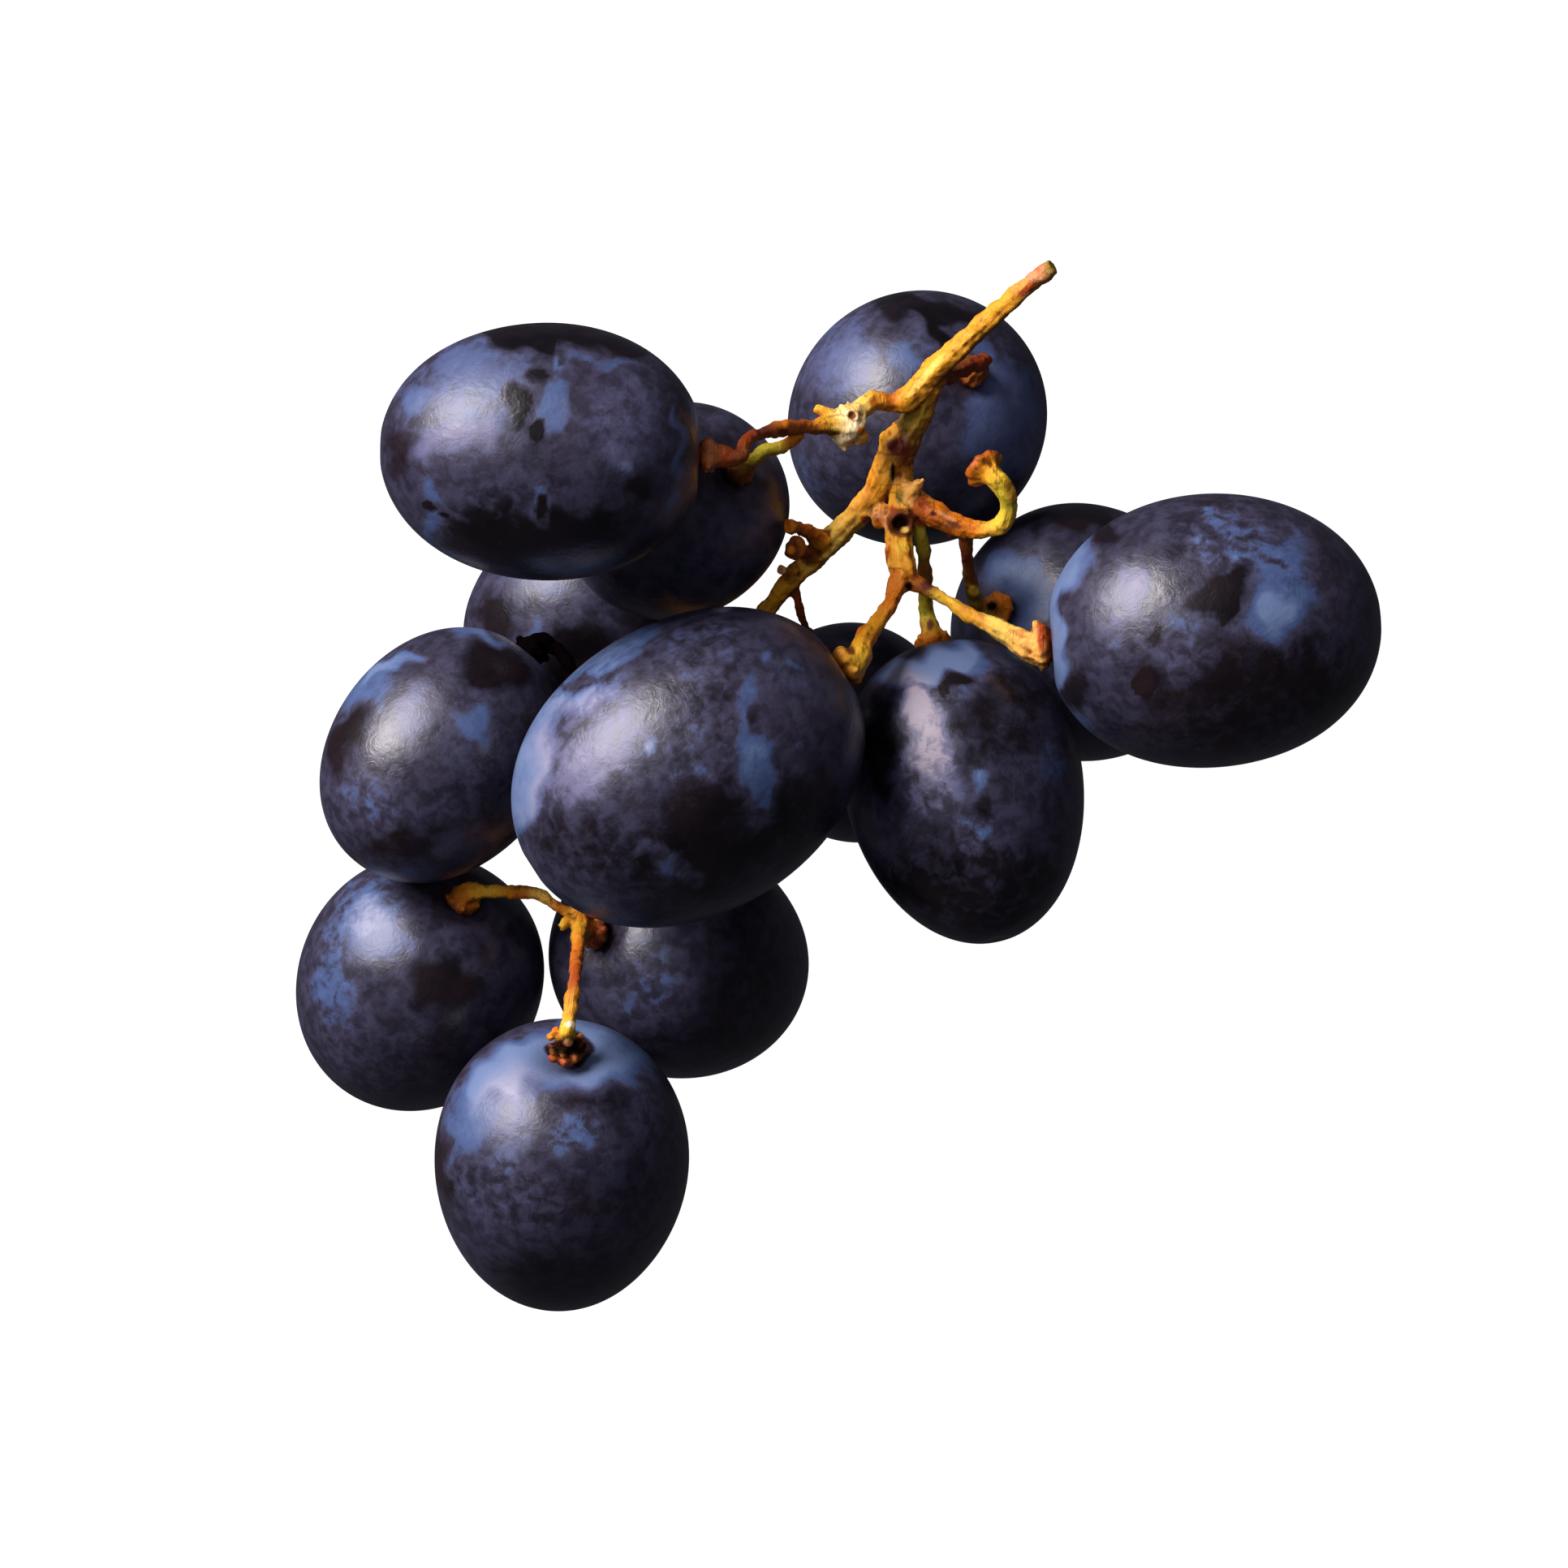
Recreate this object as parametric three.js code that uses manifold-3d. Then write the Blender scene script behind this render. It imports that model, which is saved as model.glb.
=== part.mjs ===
// A bunch of thirteen dark table grapes lying on its side, with its branching stem.
// Millimetres, +Z up from the table; x runs right and y up as the bunch is seen from above.
import * as THREE from "three";
import { mergeVertices } from "three/addons/utils/BufferGeometryUtils.js";
import Module from "manifold-3d";

const wasm = await Module();
wasm.setup();

// Sizes a user would change first.
const berrySides = 24; // facets round a berry
const stemSides = 10; // facets round a stem
const dimpleDepth = 0.9; // hollow in a berry where its stalk sits
const dimpleRadius = 1.9; // how far out that hollow reaches
const shoulder = 0.09; // how much fuller a berry is toward its stalk
const bluntness = 0.05; // how much fuller both ends are than an ellipse's
const ringSpacing = 1.4; // between rings along a stem
const mostSteps = 4; // rings between two points of a stem
const tableSide = 40; // of the block that cuts a low berry's flat spot
const tableDepth = 10;
const skinColour = 0x2b2733;
const stemColour = 0xb98a45;

// Each berry: its middle, length, width, and the way its stalk end points.
// The six low ones come a little below the table height, where they are cut to a small flat spot.
const berries = {
  a: { middle: [-18.4, 25.3, 42.2], length: 24.8, width: 19.6, stalk: [1, -0.02, -0.03], shoulder: 0.03 },
  b: { middle: [-8.8, 21.3, 24.6], length: 20.0, width: 16.8, stalk: [0.5, 0.3, 0.78] },
  c: { middle: [10.5, 29.4, 11.0], length: 23.2, width: 20.5, stalk: [0.37, 0.29, 0.88] },
  d: { middle: [33.4, 11.9, 31.8], length: 26.2, width: 21.4, stalk: [-0.99, -0.08, -0.02], shoulder: 0.02 },
  e: { middle: [24.8, 12.2, 10.4], length: 22.8, width: 20.8, stalk: [-0.65, 0.15, 0.72] },
  f: { middle: [14.3, -0.6, 26.2], length: 24.4, width: 18.8, stalk: [-0.2, 0.96, -0.2] },
  g: { middle: [-7.4, 1.3, 35.2], length: 28.8, width: 22.7, stalk: [0.84, 0.54, -0.05], shoulder: 0 },
  h: { middle: [5.7, 3.9, 8.5], length: 18.6, width: 17.2, stalk: [-0.3, 0.63, 0.71] },
  i: { middle: [-27.2, 2.2, 21.3], length: 21.8, width: 18.0, stalk: [0.62, 0.75, -0.2], shoulder: 0.04 },
  j: { middle: [-29.8, -16.4, 10.4], length: 23.0, width: 19.7, stalk: [0.35, 0.6, 0.7], shoulder: 0.06 },
  k: { middle: [-8.2, -14.2, 10.2], length: 22.4, width: 20.0, stalk: [-0.6, 0.2, 0.75] },
  l: { middle: [-17.8, -30.7, 20.9], length: 25.2, width: 20.4, stalk: [0.06, 0.76, 0.64] },
  m: { middle: [-17.0, 13.9, 8.0], length: 19.8, width: 16.8, stalk: [0.8, 0.5, 0.3] },
};
const berryAngles = [0, 3.5, 7, 11, 16, 27, 39, 52, 65, 78, 91, 104, 117, 130, 143, 156, 168, 180];

// The pad on the end of a stalk: distance past the berry's own end, and half-thickness.
const pad = [
  [2.6, 0.6], [1.2, 0.85], [0.4, 1.35], [-0.1, 1.3], [-0.38, 0.85], [-0.55, 0.3],
];

// The stem's branches. Each point is x, y, z and the half-thickness there. A branch with a berry ends in a
// pad seated in that hollow; flare is how much wider than usual the pad is, and a short one starts later.
const branches = [
  { to: "a", points: [
    [20.9, 40.2, 33.3, 0.58], [20.2, 39.7, 32.9, 0.68], [17.9, 37.9, 31.8, 0.78], [14.8, 35.2, 30.4, 0.86],
    [11.8, 32.4, 29.4, 0.94], [9.4, 30, 29, 0.95], [8.2, 29.8, 29.3, 0.75], [7.1, 30, 29.9, 0.72],
    [6, 29.3, 30.6, 0.8], [4.8, 28, 31.4, 1.6], [3.4, 27.9, 32.4, 0.75], [2.1, 27.7, 33.6, 0.52],
    [0.9, 27.6, 35, 0.52], [-0.3, 27.4, 36.6, 0.72], [-1.4, 27, 38.2, 0.45], [-2.8, 26.4, 40.2, 0.48],
  ] },
  { to: "b", points: [
    [1.3, 27.2, 34.4, 0.5], [0.4, 26.4, 34.9, 0.5], [-0.6, 25.9, 35.3, 0.48], [-1.6, 25.7, 35.6, 0.6],
  ] },
  { points: [
    [11.9, 32.3, 29.2, 0.8], [10.6, 29.1, 27.6, 1.1], [9, 26.5, 26.6, 1.45], [8.1, 24.6, 26.2, 1.25],
    [6.8, 22.4, 25.6, 1.02], [3.6, 19.2, 23.8, 1], [0.5, 16.2, 22.2, 0.82], [-1.3, 13.9, 21, 0.68],
    [-6.2, 7.5, 19.6, 0.75], [-10.8, -0.9, 18.8, 0.75], [-14.3, -7.7, 19, 0.7], [-16.2, -10.9, 19.6, 0.7],
  ] },
  { points: [
    [9.2, 25.6, 26.2, 1], [9.3, 22.8, 26.6, 1.05], [9.1, 20.4, 27.2, 1.1], [9.1, 17.9, 28.2, 1.12],
    [9.6, 15.9, 28.8, 1.15],
  ] },
  { to: "g", short: true, flare: 1.2, points: [
    [9.3, 16.4, 28.6, 0.9], [8.2, 14, 30.2, 0.62], [7, 12.2, 31.8, 0.68], [6.1, 10.9, 33.4, 0.82],
  ] },
  { to: "d", short: true, flare: 1.35, points: [
    [9.5, 16.2, 28.7, 0.9], [11.2, 15.2, 29.2, 0.55], [12.3, 14.6, 29.6, 0.47], [14.8, 13, 30.6, 0.6],
    [17.2, 11.9, 31.2, 0.85],
  ] },
  { to: "f", points: [[10, 23, 26.4, 0.9], [10.7, 20.2, 26, 0.58], [11.1, 17.1, 25, 0.56]] },
  { to: "e", points: [[14.3, 20, 27.6, 0.7], [14.5, 17.7, 25.6, 0.5]] },
  { to: "c", points: [[11.8, 31.9, 29.2, 0.9], [13, 32.2, 27.4, 0.7]] },
  { to: "h", points: [[0.6, 16.3, 22, 0.6], [1.1, 14.6, 21.2, 0.36], [1.6, 12.7, 19.5, 0.36]] },
  { to: "i", short: true, points: [
    [-8.2, 4, 19.3, 0.7], [-12.8, 6.4, 19.4, 0.5], [-16.6, 8.9, 19.1, 0.48], [-18.3, 10.9, 18.8, 0.55],
  ] },
  { to: "j", short: true, points: [
    [-16.2, -10.6, 19.6, 0.7], [-18, -9.9, 20, 0.4], [-19.5, -8.8, 20.2, 0.52], [-21.4, -8.6, 20.3, 0.55],
    [-23.6, -8.6, 20.2, 0.52],
  ] },
  { to: "k", short: true, points: [[-16.2, -10.6, 19.6, 0.7], [-16.1, -11.1, 20.4, 0.6]] },
  { to: "l", points: [[-16.2, -10.9, 19.6, 0.75], [-16.35, -13.1, 24, 0.52], [-16.4, -15.5, 29, 0.5]] },
  { to: "m", points: [[-4, 10.7, 20.2, 0.7], [-5.6, 14.7, 16.5, 0.5]] },
  // The bare stalk that has lost its berry curls back on itself and ends in an open pad.
  { points: [
    [9.3, 23.1, 26.6, 1], [11.7, 21.3, 27.2, 1], [13.2, 20.5, 27.5, 0.9], [14.8, 20, 27.8, 0.74],
    [16.9, 20.2, 28.6, 0.7], [17.6, 21.7, 29.4, 0.66], [17.2, 23.1, 30.1, 0.72], [16.5, 23.9, 30.2, 0.85],
    [16.05, 24.3, 30, 1], [15.8, 24.55, 29.8, 1.62], [15.6, 24.75, 29.65, 1.68], [15.45, 24.9, 29.5, 1.3],
  ] },
  // Short stubs: the torn knot's corners, the dark knot's bump, and buds that set no berry.
  { points: [[4.7, 28.2, 31.2, 1], [3.4, 28.8, 31.7, 0.5], [2.45, 29.35, 31.9, 0.3]] },
  { points: [[4.7, 27.8, 31.4, 1], [4.6, 27, 31.4, 0.85], [4.7, 26.2, 31.2, 0.45]] },
  { points: [[5.1, 27.7, 31.4, 0.9], [5.9, 27.1, 31.2, 0.7], [6.5, 26.8, 31.1, 0.4]] },
  { points: [[4.9, 28.6, 31.4, 0.9], [5, 29.5, 31.5, 0.45]] },
  { points: [[8.8, 26.8, 26.8, 1], [8.1, 27.3, 27.4, 0.6], [7.9, 27.5, 27.7, 0.35]] },
  { points: [
    [3.2, 19.1, 23.8, 0.9], [2, 19.8, 26, 0.55], [1.1, 20.1, 28.6, 0.42], [0.4, 20.1, 30.2, 0.58],
  ] },
  { points: [
    [2.4, 18, 23, 0.8], [1.7, 18.3, 25.4, 0.45], [1.2, 18.4, 27.6, 0.6], [0.95, 18.5, 28.4, 0.92],
    [0.9, 18.5, 28.7, 0.7],
  ] },
  { points: [[0.8, 16.6, 22.2, 0.7], [0.2, 16.8, 24.2, 0.32], [-0.2, 16.9, 25.4, 0.4]] },
  // At the fork: the scar of a lost arm, spurs and small nodes.
  { points: [[9.1, 20.6, 27.2, 1.1], [9.2, 20.5, 28.4, 1.05], [9.25, 20.4, 28.9, 0.95]] },
  { points: [[9.4, 22.3, 26.6, 0.9], [10.2, 23.1, 27.6, 0.6], [10.65, 23.75, 28.2, 0.38]] },
  { points: [[7.6, 21.6, 25.8, 0.9], [7.5, 20.7, 26.8, 0.7], [7.4, 20.5, 27.2, 0.45]] },
  { points: [[10.6, 21.9, 27, 0.8], [10.9, 21.95, 27.9, 0.45]] },
  { points: [[13.2, 20.2, 27.2, 0.6], [13.2, 19.3, 26.9, 0.35]] },
  { points: [[-16.2, -10.9, 19.6, 0.7], [-17.2, -10.9, 20.4, 0.4], [-17.8, -11.5, 20.8, 0.42]] },
];

// A mesh's surface as a solid that can be joined to or cut from another.
function solidOf(geometry) {
  const bare = geometry.clone();
  bare.deleteAttribute("normal");
  bare.deleteAttribute("uv");
  const merged = mergeVertices(bare, 1e-4);
  return new wasm.Manifold(new wasm.Mesh({
    numProp: 3,
    vertProperties: new Float32Array(merged.attributes.position.array),
    triVerts: new Uint32Array(merged.index.array),
  }));
}

function geometryOf(solid) {
  const mesh = solid.getMesh();
  const geometry = new THREE.BufferGeometry();
  geometry.setAttribute("position", new THREE.BufferAttribute(mesh.vertProperties, 3));
  geometry.setIndex(new THREE.BufferAttribute(mesh.triVerts, 1));
  geometry.computeVertexNormals();
  return geometry;
}

function stalkAxis(berry) {
  return new THREE.Vector3(...berry.stalk).normalize();
}

// Half the berry's outline, from the tip round to the hollow at the stalk, turned about its long axis.
function berrySolid(berry) {
  const halfLength = berry.length / 2;
  const halfWidth = berry.width / 2;
  const fuller = berry.shoulder ?? shoulder;
  const profile = berryAngles.map((degrees) => {
    const c = Math.cos(THREE.MathUtils.degToRad(degrees));
    const s = Math.sin(THREE.MathUtils.degToRad(degrees));
    const radius = halfWidth * s * (1 + fuller * c + bluntness * c * c);
    const hollow = c > 0 ? dimpleDepth * Math.exp(-((radius / dimpleRadius) ** 2)) : 0;
    return new THREE.Vector2(degrees % 180 === 0 ? 0 : radius, halfLength * c - hollow);
  }).reverse();
  const geometry = new THREE.LatheGeometry(profile, berrySides);
  const turn = new THREE.Quaternion().setFromUnitVectors(new THREE.Vector3(0, 1, 0), stalkAxis(berry));
  geometry.applyQuaternion(turn);
  geometry.translate(...berry.middle);
  const whole = solidOf(geometry);
  geometry.computeBoundingBox();
  if (geometry.boundingBox.min.z > 0) return whole;
  const [x, y] = berry.middle;
  const table = new THREE.BoxGeometry(tableSide, tableSide, tableDepth).translate(x, y, -tableDepth / 2);
  return whole.subtract(solidOf(table));
}

// One branch: rings round a smooth curve through its points, closed at both ends.
function branchSolid(branch) {
  const stations = branch.points.map(([x, y, z, r]) => ({ at: new THREE.Vector3(x, y, z), r }));
  if (branch.to) {
    const berry = berries[branch.to];
    const axis = stalkAxis(berry);
    const flare = branch.flare ?? 1;
    for (const [out, r] of branch.short ? pad.slice(1) : pad) {
      const at = new THREE.Vector3(...berry.middle).addScaledVector(axis, berry.length / 2 + out);
      stations.push({ at, r: r * flare });
    }
  }
  const curve = new THREE.CatmullRomCurve3(stations.map((s) => s.at));
  const rings = [];
  const last = stations.length - 1;
  for (let i = 0; i <= last; i += 1) {
    const span = i < last ? stations[i].at.distanceTo(stations[i + 1].at) : 0;
    const steps = Math.max(1, Math.min(mostSteps, Math.round(span / ringSpacing)));
    for (let k = 0; k < (i < last ? steps : 1); k += 1) {
      const u = (i + k / steps) / last;
      const next = stations[Math.min(i + 1, last)];
      const r = THREE.MathUtils.lerp(stations[i].r, next.r, THREE.MathUtils.smoothstep(k / steps, 0, 1));
      rings.push({ at: curve.getPoint(u), along: curve.getTangent(u), r });
    }
  }
  const side = new THREE.Vector3(0, 0, 1).cross(rings[0].along).normalize();
  if (side.lengthSq() < 0.5) side.set(1, 0, 0);
  const points = [];
  for (const ring of rings) {
    side.addScaledVector(ring.along, -side.dot(ring.along)).normalize();
    const other = ring.along.clone().cross(side);
    for (let j = 0; j < stemSides; j += 1) {
      const angle = (2 * Math.PI * j) / stemSides;
      points.push(ring.at.clone()
        .addScaledVector(side, ring.r * Math.cos(angle))
        .addScaledVector(other, ring.r * Math.sin(angle)));
    }
  }
  const faces = [];
  for (let i = 0; i < rings.length - 1; i += 1) {
    for (let j = 0; j < stemSides; j += 1) {
      const here = i * stemSides + j;
      const beside = i * stemSides + ((j + 1) % stemSides);
      faces.push(here, beside, here + stemSides, beside, beside + stemSides, here + stemSides);
    }
  }
  const end = (rings.length - 1) * stemSides;
  for (let j = 1; j < stemSides - 1; j += 1) {
    faces.push(0, j + 1, j, end, end + j, end + j + 1);
  }
  const geometry = new THREE.BufferGeometry();
  geometry.setAttribute("position", new THREE.Float32BufferAttribute(points.flatMap((p) => p.toArray()), 3));
  geometry.setIndex(faces);
  return solidOf(geometry);
}

const bunch = new THREE.Group();
bunch.name = "grape_bunch";

const stemSolid = branches.map(branchSolid).reduce((whole, piece) => whole.add(piece));
const stem = new THREE.Mesh(
  geometryOf(stemSolid),
  new THREE.MeshStandardMaterial({ color: stemColour, roughness: 0.75 }),
);
stem.name = "stem";
bunch.add(stem);

for (const [letter, berry] of Object.entries(berries)) {
  const mesh = new THREE.Mesh(
    geometryOf(berrySolid(berry)),
    new THREE.MeshStandardMaterial({ color: skinColour, roughness: 0.45 }),
  );
  mesh.name = `berry_${letter}`;
  bunch.add(mesh);
}

// The origin goes to the middle of the underside of the whole bunch.
const box = new THREE.Box3().setFromObject(bunch);
const shift = new THREE.Vector3((box.min.x + box.max.x) / -2, (box.min.y + box.max.y) / -2, -box.min.z);
for (const mesh of bunch.children) mesh.geometry.translate(shift.x, shift.y, shift.z);

export default bunch;
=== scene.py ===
import math
import bpy
import numpy as np
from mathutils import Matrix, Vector, kdtree, noise


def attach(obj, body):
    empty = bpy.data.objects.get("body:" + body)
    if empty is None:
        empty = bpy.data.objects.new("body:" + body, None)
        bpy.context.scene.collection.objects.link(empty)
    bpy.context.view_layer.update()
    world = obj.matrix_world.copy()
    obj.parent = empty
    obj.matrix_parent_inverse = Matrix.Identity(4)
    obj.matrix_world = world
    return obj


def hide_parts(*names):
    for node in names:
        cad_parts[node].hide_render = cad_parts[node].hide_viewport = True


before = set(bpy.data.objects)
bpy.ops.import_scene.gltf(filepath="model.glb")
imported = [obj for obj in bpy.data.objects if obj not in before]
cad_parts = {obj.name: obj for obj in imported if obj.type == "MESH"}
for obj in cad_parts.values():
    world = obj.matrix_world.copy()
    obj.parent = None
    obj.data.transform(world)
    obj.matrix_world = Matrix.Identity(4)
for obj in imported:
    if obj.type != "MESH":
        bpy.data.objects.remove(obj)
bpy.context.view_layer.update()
mm = 0.001

# Where things are. Places are in mm from the picture's middle: x right, y up the picture, z above the table.
layout = {
    "shift": (-3.3855, 0.7501, 0.0),  # from the picture's middle to the origin of the frame
    "cameraHeight": 502.0,
    "pictureSize": 1932,
    "pixelsPerMm": 15.5,  # at the height of 22 mm
    "scaleHeight": 22.0,
}


def linearColour(text):
    channels = [int(text[i:i + 2], 16) / 255 for i in (1, 3, 5)]
    return tuple(c / 12.92 if c <= 0.04045 else ((c + 0.055) / 1.055) ** 2.4 for c in channels) + (1.0,)


def node(tree, kind, inputs=None, **settings):
    made = tree.nodes.new(kind)
    for name, value in settings.items():
        setattr(made, name, value)
    for socket, value in (inputs or {}).items():
        if isinstance(value, bpy.types.NodeSocket):
            tree.links.new(value, made.inputs[socket])
        else:
            made.inputs[socket].default_value = value
    return made


# The few nodes that the materials share: noise, sums, soft steps and colour mixes.
class Recipe:
    def __init__(self, name):
        self.material = bpy.data.materials.new(name)
        self.material.use_nodes = True
        self.tree = self.material.node_tree
        self.tree.nodes.clear()

    def paint(self, name, socket="Fac"):
        return node(self.tree, "ShaderNodeAttribute", attribute_name=name).outputs[socket]

    def noise(self, vector, scale, detail, rough=0.6, distort=0.0):
        inputs = {"Vector": vector, "Scale": scale, "Detail": detail, "Roughness": rough}
        return node(self.tree, "ShaderNodeTexNoise", {**inputs, "Distortion": distort}).outputs["Fac"]

    def maths(self, operation, a, b=0.0, clamp=False):
        made = node(self.tree, "ShaderNodeMath", {0: a, 1: b}, operation=operation, use_clamp=clamp)
        return made.outputs[0]

    def centred(self, value, size):
        return self.maths("MULTIPLY", self.maths("SUBTRACT", value, 0.5), size)

    def ramp(self, value, low, high, to=(0.0, 1.0)):
        return node(self.tree, "ShaderNodeMapRange", {
            "Value": value, "From Min": low, "From Max": high, "To Min": to[0], "To Max": to[1],
        }, interpolation_type="SMOOTHSTEP").outputs["Result"]

    def mix(self, share, a, b):
        return node(self.tree, "ShaderNodeMix", {0: share, 6: a, 7: b}, data_type="RGBA").outputs[2]

    def finish(self, inputs):
        shader = node(self.tree, "ShaderNodeBsdfPrincipled", inputs)
        node(self.tree, "ShaderNodeOutputMaterial", {"Surface": shader.outputs["BSDF"]})
        return self.material


def deselectAll():
    bpy.ops.object.select_all(action="DESELECT")


def smoothStep(low, high, value):
    t = np.clip((value - low) / (high - low), 0, 1)
    return t * t * (3 - 2 * t)


# Where a point of the layout shows in the picture, in pixels.
def pictureOf(points):
    scale = layout["pixelsPerMm"] * (layout["cameraHeight"] - layout["scaleHeight"])
    scale = scale / (layout["cameraHeight"] - points[:, 2])
    middle = layout["pictureSize"] / 2
    return middle + points[:, 0] * scale, middle - points[:, 1] * scale


# Where a mark starts to fade and where it ends, as shares of its size.
markEdge = {
    "soft": (0.45, 1.4),
    "crisp": (0.75, 1.15),
    "wood": (0.6, 1.2),
}


# One mark: its place and half-sizes in pixels of the picture, how much it adds to the bloom, its turn in
# degrees, and what else it changes.
def spot(x, y, halfWidth, halfHeight, bloom=0, turn=0, **change):
    return dict(at=(x, y), size=(halfWidth, halfHeight), bloom=bloom, turn=turn, **change)


# How far a mark covers each picture point, 1 inside it and 0 outside.
def markShare(mark, px, py, kind):
    turn = math.radians(mark["turn"])
    dx, dy = px - mark["at"][0], mark["at"][1] - py
    along = (dx * math.cos(turn) + dy * math.sin(turn)) / mark["size"][0]
    over = (-dx * math.sin(turn) + dy * math.cos(turn)) / mark["size"][1]
    return 1 - smoothStep(*markEdge[kind], np.hypot(along, over))


# Stores one value for each vertex, for the material to read.
def addLayer(piece, name, kind, values):
    field = {"FLOAT": "value", "FLOAT_VECTOR": "vector", "FLOAT_COLOR": "color"}[kind]
    layer = piece.data.attributes.new(name, kind, "POINT")
    layer.data.foreach_set(field, values.astype(np.float32).ravel())


# What a user would change on the berries. stalk is the way the stalk end points, shoulder how much fuller
# the berry is toward it, hollow the depth and radius of the hollow there, and bloom how much powder the
# whole berry has.
berries = {
    "a": dict(middle=(-18.4, 25.3, 42.2), length=24.8, width=19.6, stalk=(1, -0.02, -0.03), shoulder=0.03,
              bloom=-0.15),
    "b": dict(middle=(-8.8, 21.3, 24.6), length=20.0, width=16.8, stalk=(0.5, 0.3, 0.78), bloom=-0.3),
    "c": dict(middle=(10.5, 29.4, 11.0), length=23.2, width=20.5, stalk=(0.37, 0.29, 0.88), bloom=-0.2),
    "d": dict(middle=(33.4, 11.9, 31.8), length=26.2, width=21.4, stalk=(-0.99, -0.08, -0.02), shoulder=0.02,
              bloom=-0.3),
    "e": dict(middle=(24.8, 12.2, 10.4), length=22.8, width=20.8, stalk=(-0.65, 0.15, 0.72), bloom=-0.2),
    "f": dict(middle=(14.3, -0.6, 26.2), length=24.4, width=18.8, stalk=(-0.2, 0.96, -0.2), bloom=-0.3),
    "g": dict(middle=(-7.4, 1.3, 35.2), length=28.8, width=22.7, stalk=(0.84, 0.54, -0.05), shoulder=0.0,
              bloom=-0.25),
    "h": dict(middle=(5.7, 3.9, 8.5), length=18.6, width=17.2, stalk=(-0.3, 0.63, 0.71), bloom=-0.3),
    "i": dict(middle=(-27.2, 2.2, 21.3), length=21.8, width=18.0, stalk=(0.62, 0.75, -0.2), shoulder=0.04,
              bloom=-0.15),
    "j": dict(middle=(-29.8, -16.4, 10.4), length=23.0, width=19.7, stalk=(0.35, 0.6, 0.7), shoulder=0.06,
              bloom=-0.25),
    "k": dict(middle=(-8.2, -14.2, 10.2), length=22.4, width=20.0, stalk=(-0.6, 0.2, 0.75), bloom=-0.25),
    "l": dict(middle=(-17.8, -30.7, 20.9), length=25.2, width=20.4, stalk=(0.06, 0.76, 0.64), bloom=-0.3,
              hollow=(1.3, 2.4)),
    "m": dict(middle=(-17.0, 13.9, 8.0), length=19.8, width=16.8, stalk=(0.8, 0.5, 0.3), bloom=-0.2),
}

berryShape = {
    "sides": 160,
    "rings": 120,
    "shoulder": 0.09,  # how much fuller a berry is toward its stalk
    "bluntness": 0.05,  # how much fuller it is toward both ends
    "hollow": (0.9, 1.9),  # depth and radius of the hollow round the stalk
    "scar": (0.25, 0.7),  # depth and radius of the little scar at the tip
    "scarStain": 0.8,  # radius of the brown at the scar, and of the brown in the hollow
    "hollowStain": 1.7,
    "lumps": 0.006,  # share of the width by which a berry is out of round
    "noiseGap": 40.0,  # mm between the parts of the noise that two berries get
    "upward": (-0.15, 0.12),  # marks are painted where the skin faces up this much
}


def stalkAxis(berry):
    return Vector(berry["stalk"]).normalized()


# A master berry is a ball, and each berry is a copy of it, drawn out to its own length and width.
def masterBerry():
    deselectAll()
    sides, rings = berryShape["sides"], berryShape["rings"]
    bpy.ops.mesh.primitive_uv_sphere_add(segments=sides, ring_count=rings, radius=1)
    bpy.ops.object.shade_smooth()
    ball = bpy.context.object
    ball.name = "master_berry"
    return ball


def makeBerry(letter, ball):
    berry = berries[letter]
    deselectAll()
    piece = ball.copy()
    piece.data = ball.data.copy()
    piece.name = "grape_" + letter
    bpy.context.scene.collection.objects.link(piece)
    unit = np.zeros(len(piece.data.vertices) * 3)
    piece.data.vertices.foreach_get("co", unit)
    unit = unit.reshape(-1, 3)
    rim = np.hypot(unit[:, 0], unit[:, 1])
    turn = np.arctan2(unit[:, 1], unit[:, 0])
    toStalk = unit[:, 2]  # 1 at the stalk and -1 at the tip
    fuller = berry.get("shoulder", berryShape["shoulder"])
    blunt = berryShape["bluntness"]
    phase = 1.7 * sum(map(ord, letter))  # so that no two berries are out of round the same way
    oval = np.sin(2 * turn + phase) * rim
    threeSided = np.sin(3 * turn - phase + 2 * toStalk) * rim
    lumps = 1 - berryShape["lumps"] * (1 + oval + threeSided)
    across = berry["width"] / 2 * (1 + fuller * toStalk + blunt * toStalk * toStalk) * lumps
    depth, reach = berry.get("hollow", berryShape["hollow"])
    hollow = np.where(toStalk > 0, depth * np.exp(-((rim * across / reach) ** 2)), 0)
    scarDepth, scarReach = berryShape["scar"]
    scar = scarDepth * np.exp(-((rim * across / scarReach) ** 2)) * (toStalk < 0)
    along = berry["length"] / 2 * toStalk - hollow + scar
    local = np.column_stack([unit[:, 0] * across, unit[:, 1] * across, along])
    rotation = Vector((0, 0, 1)).rotation_difference(stalkAxis(berry)).to_matrix()
    place = local @ np.array(rotation).T + np.array(berry["middle"])
    place[:, 2] = np.maximum(place[:, 2], 0)  # it gives a little where it rests on the table
    piece.data.vertices.foreach_set("co", ((place + np.array(layout["shift"])) * mm).ravel())
    piece.data.update()
    paintBerry(piece, letter, local, place)
    return piece


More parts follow.
